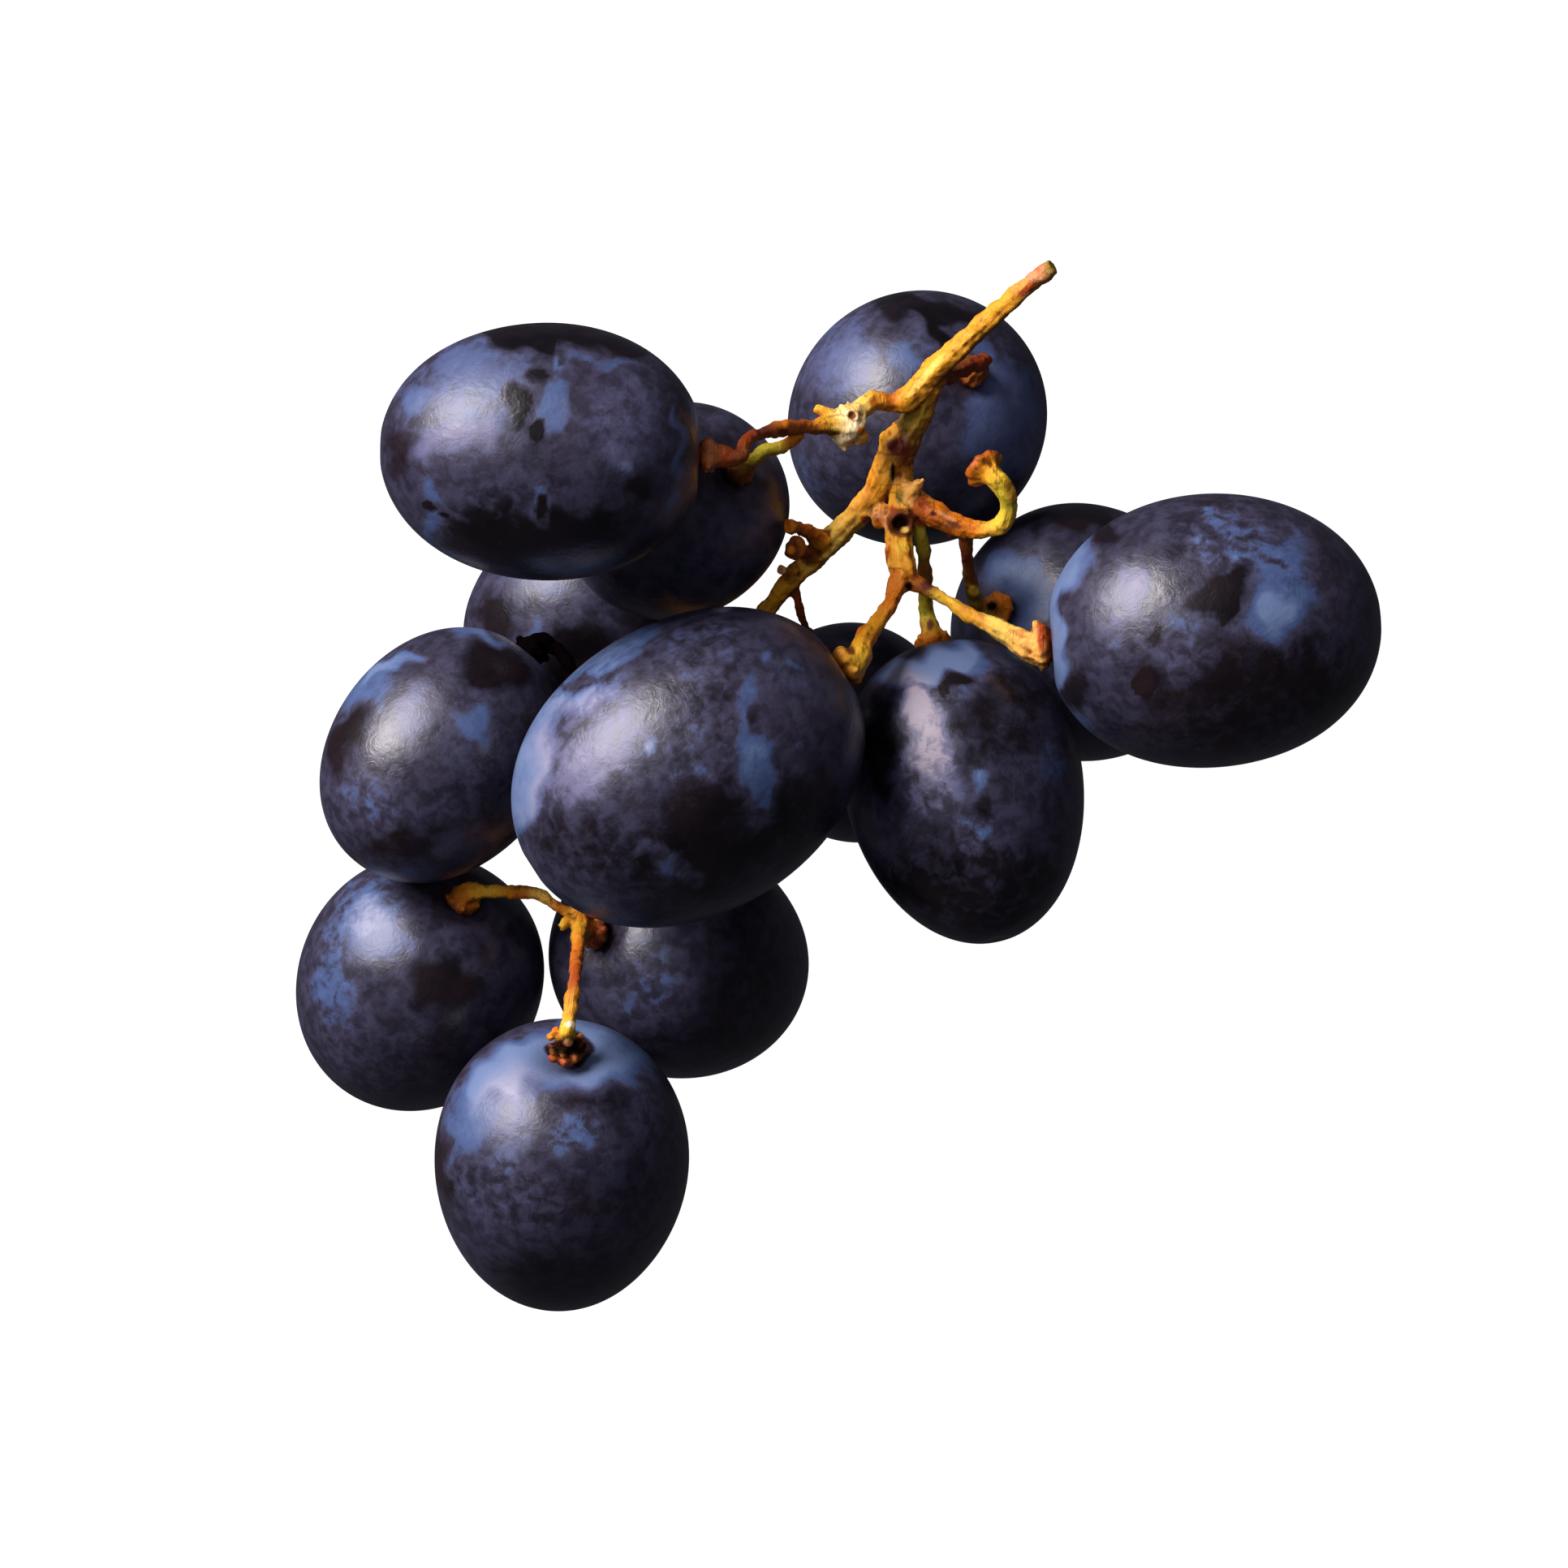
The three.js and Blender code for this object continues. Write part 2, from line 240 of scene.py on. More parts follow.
# Marks in the bloom, as seen from above. brown says how brown the bare skin is, pink how pinkish the bloom
# is, and speckle how much it breaks up in specks. A crisp mark has a narrow edge. Besides real patches of
# bloom and bare skin, the marks hold painted light and shade: pink marks on the highlights are painted
# highlight, the thick bloom bands along the upper left rims are partly painted rim light, and the marks that
# take bloom away along the lower and right sides, and where one berry shades another, are painted shade.
marks = {
    "a": [
        # partly real bloom, partly painted highlight spread over the highlight
        spot(572, 478, 84, 60, 1, turn=22, pink=0.3),
        spot(502, 500, 20, 20, 0.8, turn=30),
        spot(686, 496, 26, 46, 1.1, turn=-10, crisp=True),
        spot(634, 500, 13, 20, -2.2, turn=20),
        spot(660, 463, 18, 9, -2),
        spot(669, 528, 9, 9, -3, crisp=True),
        spot(665, 627, 17, 22, 0.9, turn=10, crisp=True),
        spot(665, 628, 8, 9, -2.6, crisp=True),
        spot(488, 556, 18, 42, -1, brown=0.5, pink=0.6),
        # painted highlight: a pink band on the lower part of the highlight
        spot(572, 546, 66, 22, 1, turn=4, pink=1),
        spot(530, 600, 16, 28, 1),
        spot(532, 655, 26, 16, 1, turn=-50),
        spot(523, 634, 7, 6, -2.6, crisp=True),
        spot(542, 640, 9, 6, -2.6, turn=20, crisp=True),
        spot(600, 640, 56, 44, -0.5, speckle=0.6),
        # painted shade along the lower edge
        spot(690, 674, 150, 42, -1.7, speckle=0.5),
        # painted dark reflection along the top rim
        spot(700, 412, 190, 17, -2.4, turn=-4),
        spot(740, 443, 46, 7, 0.9),
        spot(690, 436, 5, 12, 1.3),
        spot(770, 520, 64, 66, 0.75, brown=0.5, pink=1),
        spot(770, 571, 10, 12, 0.9),
        spot(786, 602, 26, 16, -1.2),
        spot(838, 540, 5, 46, 1.1),
        spot(836, 625, 9, 36, 0.8, turn=-25),
    ],
    "g": [
        # partly real bloom, partly painted rim light along the left rim
        spot(648, 950, 28, 98, 2.2, turn=-20),
        spot(742, 815, 98, 20, 1.5, turn=40, speckle=0.5),
        spot(728, 860, 46, 14, 1.1, turn=30, speckle=0.3),
        spot(722, 836, 34, 8, -1.5, turn=16),
        # partly bloom, partly painted highlight, with the two pink marks after it
        spot(736, 922, 60, 88, 0.9, turn=-42, pink=1, speckle=0.3),
        spot(787, 880, 24, 26, 0.2, turn=-30, pink=0.5),
        spot(735, 932, 36, 22, 0.5, turn=30, pink=0.5),
        spot(808, 915, 10, 13, 1.7),
        # painted highlight, fainter, below the highlight
        spot(700, 985, 60, 26, 0.2, turn=20, pink=0.8),
        spot(860, 800, 60, 40, 0.3, turn=10, speckle=0.7),
        spot(865, 890, 45, 60, 0.1, speckle=0.8),
        spot(932, 955, 34, 58, 2.3, turn=4),
        spot(922, 862, 18, 34, 1.2),
        spot(932, 876, 9, 8, -1.6),
        spot(850, 948, 34, 9, 0.9, turn=10, speckle=0.5),
        spot(990, 870, 50, 56, 0.55, brown=0.3),
        spot(985, 944, 12, 12, 0.8),
        spot(985, 914, 5, 5, 1),
        spot(940, 812, 9, 9, 0.8),
        spot(985, 812, 9, 8, 0.8),
        spot(826, 1062, 42, 20, 1.6, turn=-38, crisp=True),
        spot(806, 1060, 12, 10, -1.4),
        spot(730, 1045, 80, 40, -0.6, turn=-25, brown=0.15, speckle=0.5),
        # painted shade over the lower right
        spot(900, 1030, 130, 70, -1.2, turn=25, speckle=0.4),
        spot(895, 752, 26, 6, 2, pink=1),
    ],
    "d": [
        # partly real bloom, partly painted rim light along the left rim, with the next two marks
        spot(1318, 690, 26, 52, 2.2, turn=-35),
        spot(1296, 790, 12, 90, 2.2),
        spot(1334, 893, 32, 14, 1.2, turn=-45),
        spot(1366, 655, 16, 12, -2.2, turn=30),
        # partly bloom, partly painted highlight, with the next mark
        spot(1380, 742, 42, 50, 0.7, turn=20, pink=1),
        spot(1398, 724, 24, 24, 0.9, pink=0.5),
        spot(1584, 722, 44, 68, 1.5, turn=-5, speckle=0.3),
        spot(1562, 762, 40, 28, 1),
        spot(1572, 690, 26, 4, -1.3, turn=-20),
        spot(1512, 662, 52, 38, 0.6, speckle=1.3),
        spot(1495, 635, 8, 7, 1.2),
        spot(1476, 670, 8, 8, 1.2),
        spot(1522, 684, 12, 8, 1),
        spot(1500, 728, 18, 38, -2.2, turn=-50, brown=0.3, speckle=0.5),
        spot(1508, 752, 10, 18, -2.6, turn=20, crisp=True),
        spot(1450, 700, 36, 40, -0.3, pink=0.5, speckle=0.3),
        spot(1455, 790, 44, 44, 0.8, turn=30, speckle=0.6),
        spot(1380, 800, 34, 20, 0.4, speckle=0.3),
        spot(1420, 778, 7, 6, -1.6),
        spot(1408, 845, 15, 14, -2.2, brown=0.5, crisp=True),
        spot(1330, 845, 22, 28, -1.3, speckle=0.5),
        # partly brown skin, partly painted shade over the lower right
        spot(1560, 850, 140, 66, -1, turn=6, brown=0.3, speckle=0.4),
        spot(1655, 760, 34, 70, 0.5, brown=0.6),
    ],
    "f": [
        # partly real bloom, partly painted rim light along the top
        spot(1140, 822, 64, 18, 2.4, turn=20),
        spot(1196, 822, 34, 26, 1.2, turn=-20),
        spot(1178, 830, 25, 10, -3.2, turn=-6),
        spot(1160, 842, 7, 9, -2.6, crisp=True),
        spot(1184, 856, 20, 16, 0.3, turn=-20, speckle=0.9),
        spot(1124, 868, 17, 18, 1.2, pink=0.1),
        # painted highlight, with the next two marks
        spot(1142, 922, 36, 92, 0.7, turn=12, pink=1, speckle=0.6),
        spot(1140, 904, 27, 62, 1.15, turn=12, pink=0.7, speckle=0.8),
        spot(1128, 1000, 30, 34, 0.5, pink=0.6, speckle=0.4),
        # painted shadow of berry g on the left side
        spot(1088, 925, 18, 60, -1.6),
        spot(1206, 962, 14, 20, 1.8, speckle=0.5),
        spot(1190, 908, 12, 40, -0.6, turn=25, speckle=0.6),
        spot(1208, 1026, 32, 22, 0.7, speckle=1.3),
        spot(1214, 996, 12, 8, -1.2),
        spot(1292, 930, 20, 32, 0.8),
        # partly brown skin, partly painted shade on the right side
        spot(1240, 880, 44, 56, -0.9, brown=0.2, speckle=0.3),
        # painted shade over the lower part
        spot(1190, 1094, 130, 62, -0.9, speckle=0.8),
        spot(1080, 1030, 26, 50, 0.35, turn=20),
    ],
    "l": [
        spot(706, 1304, 70, 46, 2.8),
        spot(702, 1292, 32, 15, -5, brown=1, crisp=True),
        spot(618, 1318, 44, 26, 2, turn=42),
        # partly bloom, partly painted highlight
        spot(630, 1385, 40, 62, 1.1, turn=-8, pink=0.7),
        spot(575, 1372, 26, 60, 1.3, turn=-14),
        spot(732, 1356, 42, 22, -0.8, turn=-12, pink=0.4),
        spot(706, 1392, 26, 22, 0.9, turn=20, speckle=1.2),
        spot(545, 1430, 14, 70, -1.2, turn=5, brown=0.5),
        spot(620, 1470, 70, 40, 0.3, turn=-20, speckle=0.9),
        spot(790, 1330, 24, 40, 0.6, turn=20),
        # painted shade along the lower edge
        spot(720, 1580, 130, 36, -0.7),
    ],
    "i": [
        # partly bloom, partly painted highlight
        spot(510, 880, 44, 38, 0.9, turn=40, pink=0.8),
        spot(450, 850, 26, 40, 1.2, turn=-40),
        spot(578, 898, 22, 24, 1.2),
        spot(612, 822, 34, 30, -2.4, brown=0.3),
        spot(590, 783, 34, 9, 1.6, turn=-4),
        spot(430, 906, 12, 46, -1.6, turn=-30, brown=0.6),
        spot(488, 818, 34, 7, 1.6, turn=32),
        spot(450, 985, 48, 40, 0.6, turn=-30, speckle=0.8),
        spot(500, 1036, 50, 22, -1.1, brown=0.3, speckle=0.4),
        spot(520, 1074, 26, 10, 0.9),
        spot(655, 815, 14, 24, 1, turn=20),
        spot(590, 970, 34, 50, -0.2, speckle=0.4),
    ],
    "c": [
        spot(1034, 436, 58, 56, 1, turn=24, pink=0.5),
        spot(1150, 385, 74, 16, -1.8, turn=-10),
        spot(1158, 430, 12, 46, -1.8, turn=28),
        spot(1118, 440, 20, 34, 1.1, turn=10),
        spot(1215, 430, 14, 34, 0.9, turn=-20),
        spot(1240, 520, 50, 90, 1.2, pink=0.3),
        spot(1005, 575, 46, 46, 0.5),
    ],
    "j": [
        spot(440, 1120, 60, 36, 1, turn=50, speckle=0.7),
        # partly bloom, partly painted highlight
        spot(468, 1150, 38, 38, 1.3, pink=0.4),
        spot(415, 1225, 30, 70, 1, turn=10, speckle=0.5),
        spot(545, 1212, 40, 36, -2, brown=0.25),
        # painted shade over the lower right
        spot(600, 1300, 90, 50, -0.7),
        spot(560, 1140, 36, 20, 0.4, speckle=0.5),
    ],
    "k": [
        spot(790, 1195, 56, 60, 0.6, speckle=0.8),
        spot(920, 1230, 60, 100, -0.8),
        spot(830, 1300, 80, 40, -0.5),
    ],
    "m": [
        spot(650, 722, 66, 20, 0.9, turn=-6, pink=0.4),
        spot(706, 762, 36, 18, 0.1, turn=20, speckle=0.5),
        spot(608, 764, 24, 15, -1.4, turn=-20, brown=0.4),
        spot(650, 775, 10, 26, 0.8, turn=-40),
        # painted shade in the dark gap below, between m, i and g
        spot(716, 806, 58, 30, -2),
    ],
    "e": [
        spot(1262, 730, 40, 52, 1.5),
        spot(1330, 640, 56, 18, -1.6),
        spot(1235, 690, 14, 40, 0.5, turn=-20),
    ],
    "b": [
        spot(900, 640, 80, 100, 0.3),
        spot(880, 520, 26, 14, 0.9, turn=-20),
    ],
    "h": [spot(1030, 785, 60, 18, 0.4)],
}


# Lets a mark's outline wander by a few pixels, so that it isn't a neat ellipse.
def wander(px, py):
    right = 7 * np.sin(px / 21 + 1.3 * np.sin(py / 27)) + 4 * np.sin(py / 9 + px / 13)
    down = 7 * np.sin(py / 19 + 1.7 * np.sin(px / 24)) + 4 * np.sin(px / 8 - py / 12)
    return px + right, py + down


# Paints how much bloom there is, how brown the skin is, with the painted highlight and shade that some marks
# hold, and the place on the skin in mm along the berry.
def paintBerry(piece, letter, local, place):
    berry = berries[letter]
    facing = np.zeros(len(place) * 3)
    piece.data.vertices.foreach_get("normal", facing)
    up = facing.reshape(-1, 3)[:, 2]
    seen = smoothStep(*berryShape["upward"], up)
    px, py = wander(*pictureOf(place))
    painted = {key: np.zeros(len(place)) for key in ("bloom", "brown", "pink", "speckle")}
    painted["bloom"] += berry["bloom"]
    for mark in marks.get(letter, []):
        here = seen * markShare(mark, px, py, "crisp" if mark.get("crisp") else "soft")
        for key in painted:
            painted[key] += mark.get(key, 0) * here
    rim = np.hypot(local[:, 0], local[:, 1])
    tip = np.where(local[:, 2] < 0, np.exp(-((rim / berryShape["scarStain"]) ** 2)), 0)
    stalkEnd = np.where(local[:, 2] > 0, np.exp(-((rim / berryShape["hollowStain"]) ** 2)), 0)
    skinPlace = local + berryShape["noiseGap"] * (ord(letter) - ord("a") + 1)
    for key in painted:
        addLayer(piece, key + "Paint", "FLOAT", painted[key])
    addLayer(piece, "underPaint", "FLOAT", 1 - seen)
    addLayer(piece, "tipScar", "FLOAT", tip)
    addLayer(piece, "stalkEnd", "FLOAT", stalkEnd)
    addLayer(piece, "skinPlace", "FLOAT_VECTOR", skinPlace)


# Colours as seen on the real thing, and the pink bloom that also serves as painted highlight.
grapeSkin = {
    "bareSkin": "#150f15",  # nearly black purple
    "brownSkin": "#1f1317",  # where it is rubbed to a red-brown
    "deepSkin": "#070508",
    "veil": "#5b5a7a",  # the thinnest powder, as a purple-grey breath
    "bloom": "#3e517b",  # an even coat of the wax powder
    "thickBloom": "#5d6f93",
    # pinkish powder, which also serves as painted highlight where the pink marks lie on the highlights
    "pinkBloomAndHighlight": "#968a97",
    "stalkHollow": "#2a1512",
    "tipScar": "#4a3022",
    "sheen": "#9fb2dd",  # of the powder, seen along the skin
    "bareRoughness": 0.31,
    "bloomRoughness": 0.48,
    # the patterns, in repeats for each mm: patches about 8 mm and 2.5 mm across, broken up by 1 mm mottling
    "patches": 0.13,
    "blotches": 0.42,
    "mottling": 0.95,
    "grain": 4.5,  # 0.2 to 0.3 mm: coarser than real wax grains, so that it shows
    "wrinkles": 0.75,  # worm-like, about 1 mm apart, and they break up the shine
    "depths": 0.25,  # where the bare skin is blacker
    # how strongly each pattern changes the amount of bloom
    "patchStrength": 1.5,
    "blotchStrength": 1.1,
    "mottlingStrength": 0.7,
    "speckleStrength": 3.0,  # of the mottling, in marks with speckle
    "grainStrength": 0.4,
    "underPatches": 2.5,  # the side turned to the table has no marks of its own, so it gets this much more
    "underBlotches": 1.5,
    # the amounts between which each coat comes in, and how much it hides
    "veilCoat": (-1.5, 0.5, (0.0, 0.37)),
    "evenCoat": (0.2, 1.05, (0.0, 0.85)),
    "thickCoat": (0.9, 2.2, (0.0, 0.95)),
}


# Black table grape: a tough satin skin, purple to black, under a patchy wax bloom that is powdery and matt.
def grapeSkinMaterial():
    skin = Recipe("grape_skin_with_bloom")
    place = skin.paint("skinPlace", "Vector")
    patches = skin.noise(place, grapeSkin["patches"], 2.0, 0.5, 0.6)
    blotches = skin.noise(place, grapeSkin["blotches"], 3.0, 0.6, 0.5)
    mottling = skin.noise(place, grapeSkin["mottling"], 3.0, 0.55, 0.4)
    grain = skin.noise(place, grapeSkin["grain"], 2.0, 0.6)
    under = skin.paint("underPaint")
    morePatches = skin.maths("MULTIPLY", under, grapeSkin["underPatches"])
    patchSize = skin.maths("ADD", morePatches, grapeSkin["patchStrength"])
    moreBlotches = skin.maths("MULTIPLY", under, grapeSkin["underBlotches"])
    blotchSize = skin.maths("ADD", moreBlotches, grapeSkin["blotchStrength"])
    amount = skin.maths("ADD", skin.centred(patches, patchSize), skin.centred(blotches, blotchSize))
    speckles = skin.maths("MULTIPLY", skin.paint("specklePaint"), grapeSkin["speckleStrength"])
    breaking = skin.maths("ADD", speckles, grapeSkin["mottlingStrength"])
    amount = skin.maths("ADD", amount, skin.centred(mottling, breaking))
    amount = skin.maths("ADD", amount, skin.centred(grain, grapeSkin["grainStrength"]))
    amount = skin.maths("ADD", amount, skin.paint("bloomPaint"))
    veil = skin.ramp(amount, *grapeSkin["veilCoat"])
    veil = skin.maths("MULTIPLY", veil, skin.ramp(mottling, 0.34, 0.64, (0.5, 1.0)))
    even = skin.ramp(amount, *grapeSkin["evenCoat"])
    thick = skin.ramp(amount, *grapeSkin["thickCoat"])
    # the pink marks lie mostly on the highlights, so this is largely painted highlight
    pink = skin.maths("MULTIPLY", skin.paint("pinkPaint"), 0.9, clamp=True)

    depths = skin.ramp(skin.noise(place, grapeSkin["depths"], 3.0), 0.35, 0.7)
    bare = skin.mix(depths, linearColour(grapeSkin["deepSkin"]), linearColour(grapeSkin["bareSkin"]))
    browner = skin.maths("ADD", skin.paint("brownPaint"), skin.ramp(patches, 0.5, 0.35, (0.0, 0.6)))
    redder = skin.maths("MULTIPLY", skin.ramp(blotches, 0.3, 0.7, (0.5, 1.0)), browner, clamp=True)
    colour = skin.mix(redder, bare, linearColour(grapeSkin["brownSkin"]))
    colour = skin.mix(veil, colour, linearColour(grapeSkin["veil"]))
    evenColour = skin.mix(pink, linearColour(grapeSkin["bloom"]), linearColour(grapeSkin["veil"]))
    colour = skin.mix(even, colour, evenColour)
    thickColour = skin.mix(pink, linearColour(grapeSkin["thickBloom"]), linearColour(grapeSkin["pinkBloomAndHighlight"]))
    colour = skin.mix(thick, colour, thickColour)
    hollowShare = skin.maths("MULTIPLY", skin.paint("stalkEnd"), 0.75)
    colour = skin.mix(hollowShare, colour, linearColour(grapeSkin["stalkHollow"]))
    colour = skin.mix(skin.paint("tipScar"), colour, linearColour(grapeSkin["tipScar"]))
    wrinkles = skin.noise(place, grapeSkin["wrinkles"], 2.0, 0.5, 1.2)
    wrinkles = skin.ramp(skin.maths("ABSOLUTE", skin.centred(wrinkles, 1.0)), 0.0, 0.09, (1.0, 0.0))
    height = skin.maths("ADD", skin.maths("MULTIPLY", wrinkles, 0.08), skin.maths("MULTIPLY", mottling, 0.4))
    height = skin.maths("ADD", height, skin.maths("MULTIPLY", grain, 0.05))
    height = skin.maths("ADD", height, skin.maths("MULTIPLY", blotches, 1.2))
    bump = node(skin.tree, "ShaderNodeBump", {"Strength": 0.3, "Distance": 0.0002, "Height": height})
    roughness = skin.ramp(amount, -0.8, 1.4, (grapeSkin["bareRoughness"], grapeSkin["bloomRoughness"]))
    return skin.finish({
        "Base Color": colour, "Roughness": roughness, "Normal": bump.outputs["Normal"], "IOR": 1.5,
        "Sheen Weight": 0.02, "Sheen Roughness": 0.4, "Sheen Tint": linearColour(grapeSkin["sheen"]),
        "Specular IOR Level": 0.5,
    })


# Stem branches: points with the half-thickness there in mm, as in the solid. tint is the colour along the
# branch, one word for each point, and seat the same for its pad; to is the berry it ends in.
branches = [
    dict(to="a", points=[
        (20.9, 40.2, 33.3, 0.58), (20.2, 39.7, 32.9, 0.68), (17.9, 37.9, 31.8, 0.78),
        (14.8, 35.2, 30.4, 0.86), (11.8, 32.4, 29.4, 0.94), (9.4, 30, 29, 0.95),
        (8.2, 29.8, 29.3, 0.75), (7.1, 30, 29.9, 0.72), (6, 29.3, 30.6, 0.8), (4.8, 28, 31.4, 1.6),
        (3.4, 27.9, 32.4, 0.75), (2.1, 27.7, 33.6, 0.52), (0.9, 27.6, 35, 0.52),
        (-0.3, 27.4, 36.6, 0.72), (-1.4, 27, 38.2, 0.45), (-2.8, 26.4, 40.2, 0.48)],
         tint="olive pink gold gold gold gold orange gold pale cream yellow orange red orange maroon red",
         seat="brown red pink red brown dark"),
    dict(to="b", points=[
        (1.3, 27.2, 34.4, 0.5), (0.4, 26.4, 34.9, 0.5), (-0.6, 25.9, 35.3, 0.48),
        (-1.6, 25.7, 35.6, 0.6)],
         tint="orange orange green green", seat="olive brown dark dark dark dark"),
    dict(points=[
        (11.9, 32.3, 29.2, 0.8), (10.6, 29.1, 27.6, 1.1), (9, 26.5, 26.6, 1.45),
        (8.1, 24.6, 26.2, 1.25), (6.8, 22.4, 25.6, 1.02), (3.6, 19.2, 23.8, 1), (0.5, 16.2, 22.2, 0.82),
        (-1.3, 13.9, 21, 0.68), (-6.2, 7.5, 19.6, 0.75), (-10.8, -0.9, 18.8, 0.75),
        (-14.3, -7.7, 19, 0.7), (-16.2, -10.9, 19.6, 0.7)],
         tint="gold olive maroon gold gold pale gold gold gold gold gold yellow"),
    dict(points=[
        (9.2, 25.6, 26.2, 1), (9.3, 22.8, 26.6, 1.05), (9.1, 20.4, 27.2, 1.1), (9.1, 17.9, 28.2, 1.12),
        (9.6, 15.9, 28.8, 1.15)],
         tint="maroon gold gold gold gold"),
    dict(to="g", short=True, flare=1.2, points=[
        (9.3, 16.4, 28.6, 0.9), (8.2, 14, 30.2, 0.62), (7, 12.2, 31.8, 0.68),
        (6.1, 10.9, 33.4, 0.82)],
         tint="orange orange gold gold", seat="yellow gold brown brown dark"),
    dict(to="d", short=True, flare=1.35, points=[
        (9.5, 16.2, 28.7, 0.9), (11.2, 15.2, 29.2, 0.55), (12.3, 14.6, 29.6, 0.47),
        (14.8, 13, 30.6, 0.6), (17.2, 11.9, 31.2, 0.85)],
         tint="orange brown yellow gold pale", seat="peach peach red maroon dark"),
    dict(to="f", points=[(10, 23, 26.4, 0.9), (10.7, 20.2, 26, 0.58), (11.1, 17.1, 25, 0.56)],
         tint="olive green brown", seat="green yellow orange orange brown dark"),
    dict(to="e", points=[(14.3, 20, 27.6, 0.7), (14.5, 17.7, 25.6, 0.5)],
         tint="brown maroon", seat="olive brown orange orange brown dark"),
    dict(to="c", points=[(11.8, 31.9, 29.2, 0.9), (13, 32.2, 27.4, 0.7)],
         tint="brown maroon", seat="red orange maroon dark dark dark"),
    dict(to="h", points=[(0.6, 16.3, 22, 0.6), (1.1, 14.6, 21.2, 0.36), (1.6, 12.7, 19.5, 0.36)],
         tint="brown red brown", seat="red red red maroon brown dark"),
    dict(to="i", short=True, points=[
        (-8.2, 4, 19.3, 0.7), (-12.8, 6.4, 19.4, 0.5), (-16.6, 8.9, 19.1, 0.48),
        (-18.3, 10.9, 18.8, 0.55)],
         tint="brown shaded shaded shaded", seat="shaded shaded shaded shaded shaded"),
    dict(to="j", short=True, points=[
        (-16.2, -10.6, 19.6, 0.7), (-18, -9.9, 20, 0.4), (-19.5, -8.8, 20.2, 0.52),
        (-21.4, -8.6, 20.3, 0.55), (-23.6, -8.6, 20.2, 0.52)],
         tint="yellow orange pale orange yellow", seat="orange brown brown dark dark"),
    dict(to="k", short=True, points=[(-16.2, -10.6, 19.6, 0.7), (-16.1, -11.1, 20.4, 0.6)],
         tint="gold orange", seat="red brown dark dark dark"),
    dict(to="l", points=[
        (-16.2, -10.9, 19.6, 0.75), (-16.35, -13.1, 24, 0.52), (-16.4, -15.5, 29, 0.5)],
         tint="yellow orange red", seat="yellow orange red maroon brown dark"),
    dict(to="m", points=[(-4, 10.7, 20.2, 0.7), (-5.6, 14.7, 16.5, 0.5)],
         tint="gold olive", seat="gold gold orange red brown dark"),
    dict(points=[
        (9.3, 23.1, 26.6, 1), (11.7, 21.3, 27.2, 1), (13.2, 20.5, 27.5, 0.9),
        (14.8, 20, 27.8, 0.74), (16.9, 20.2, 28.6, 0.7), (17.6, 21.7, 29.4, 0.66),
        (17.2, 23.1, 30.1, 0.72), (16.5, 23.9, 30.2, 0.85), (16.05, 24.3, 30, 1),
        (15.8, 24.55, 29.8, 1.62), (15.6, 24.75, 29.65, 1.68), (15.45, 24.9, 29.5, 1.3)],
         tint="gold orange orange orange yellow green green yellow gold orange red brown"),
    dict(points=[(4.7, 28.2, 31.2, 1), (3.4, 28.8, 31.7, 0.5), (2.45, 29.35, 31.9, 0.3)],
         tint="cream yellow orange"),
    dict(points=[(4.7, 27.8, 31.4, 1), (4.6, 27, 31.4, 0.85), (4.7, 26.2, 31.2, 0.45)],
         tint="cream cream pale"),
    dict(points=[(5.1, 27.7, 31.4, 0.9), (5.9, 27.1, 31.2, 0.7), (6.5, 26.8, 31.1, 0.4)],
         tint="cream pale orange"),
    dict(points=[(4.9, 28.6, 31.4, 0.9), (5, 29.5, 31.5, 0.45)],
         tint="cream yellow"),
    dict(points=[(8.8, 26.8, 26.8, 1), (8.1, 27.3, 27.4, 0.6), (7.9, 27.5, 27.7, 0.35)],
         tint="maroon gold gold"),
    dict(points=[
        (3.2, 19.1, 23.8, 0.9), (2, 19.8, 26, 0.55), (1.1, 20.1, 28.6, 0.42),
        (0.4, 20.1, 30.2, 0.58)],
         tint="gold orange orange orange"),
    dict(points=[
        (2.4, 18, 23, 0.8), (1.7, 18.3, 25.4, 0.45), (1.2, 18.4, 27.6, 0.6), (0.95, 18.5, 28.4, 0.92),
        (0.9, 18.5, 28.7, 0.7)],
         tint="gold brown red brown orange"),
    dict(points=[(0.8, 16.6, 22.2, 0.7), (0.2, 16.8, 24.2, 0.32), (-0.2, 16.9, 25.4, 0.4)],
         tint="gold gold pink"),
    dict(points=[(9.1, 20.6, 27.2, 1.1), (9.2, 20.5, 28.4, 1.05), (9.25, 20.4, 28.9, 0.95)],
         tint="orange brown brown"),
    dict(points=[(9.4, 22.3, 26.6, 0.9), (10.2, 23.1, 27.6, 0.6), (10.65, 23.75, 28.2, 0.38)],
         tint="pale peach peach"),
    dict(points=[(7.6, 21.6, 25.8, 0.9), (7.5, 20.7, 26.8, 0.7), (7.4, 20.5, 27.2, 0.45)],
         tint="gold pink pink"),
    dict(points=[(10.6, 21.9, 27, 0.8), (10.9, 21.95, 27.9, 0.45)],
         tint="orange red"),
    dict(points=[(13.2, 20.2, 27.2, 0.6), (13.2, 19.3, 26.9, 0.35)],
         tint="red brown"),
    dict(points=[(-16.2, -10.9, 19.6, 0.7), (-17.2, -10.9, 20.4, 0.4), (-17.8, -11.5, 20.8, 0.42)],
         tint="gold gold yellow"),
]

# The pad on the end of a stalk: distance past the berry's own end, and half-thickness.
pad = [(2.6, 0.6), (1.2, 0.85), (0.4, 1.35), (-0.1, 1.3), (-0.4, 0.95), (-0.95, 0.6)]

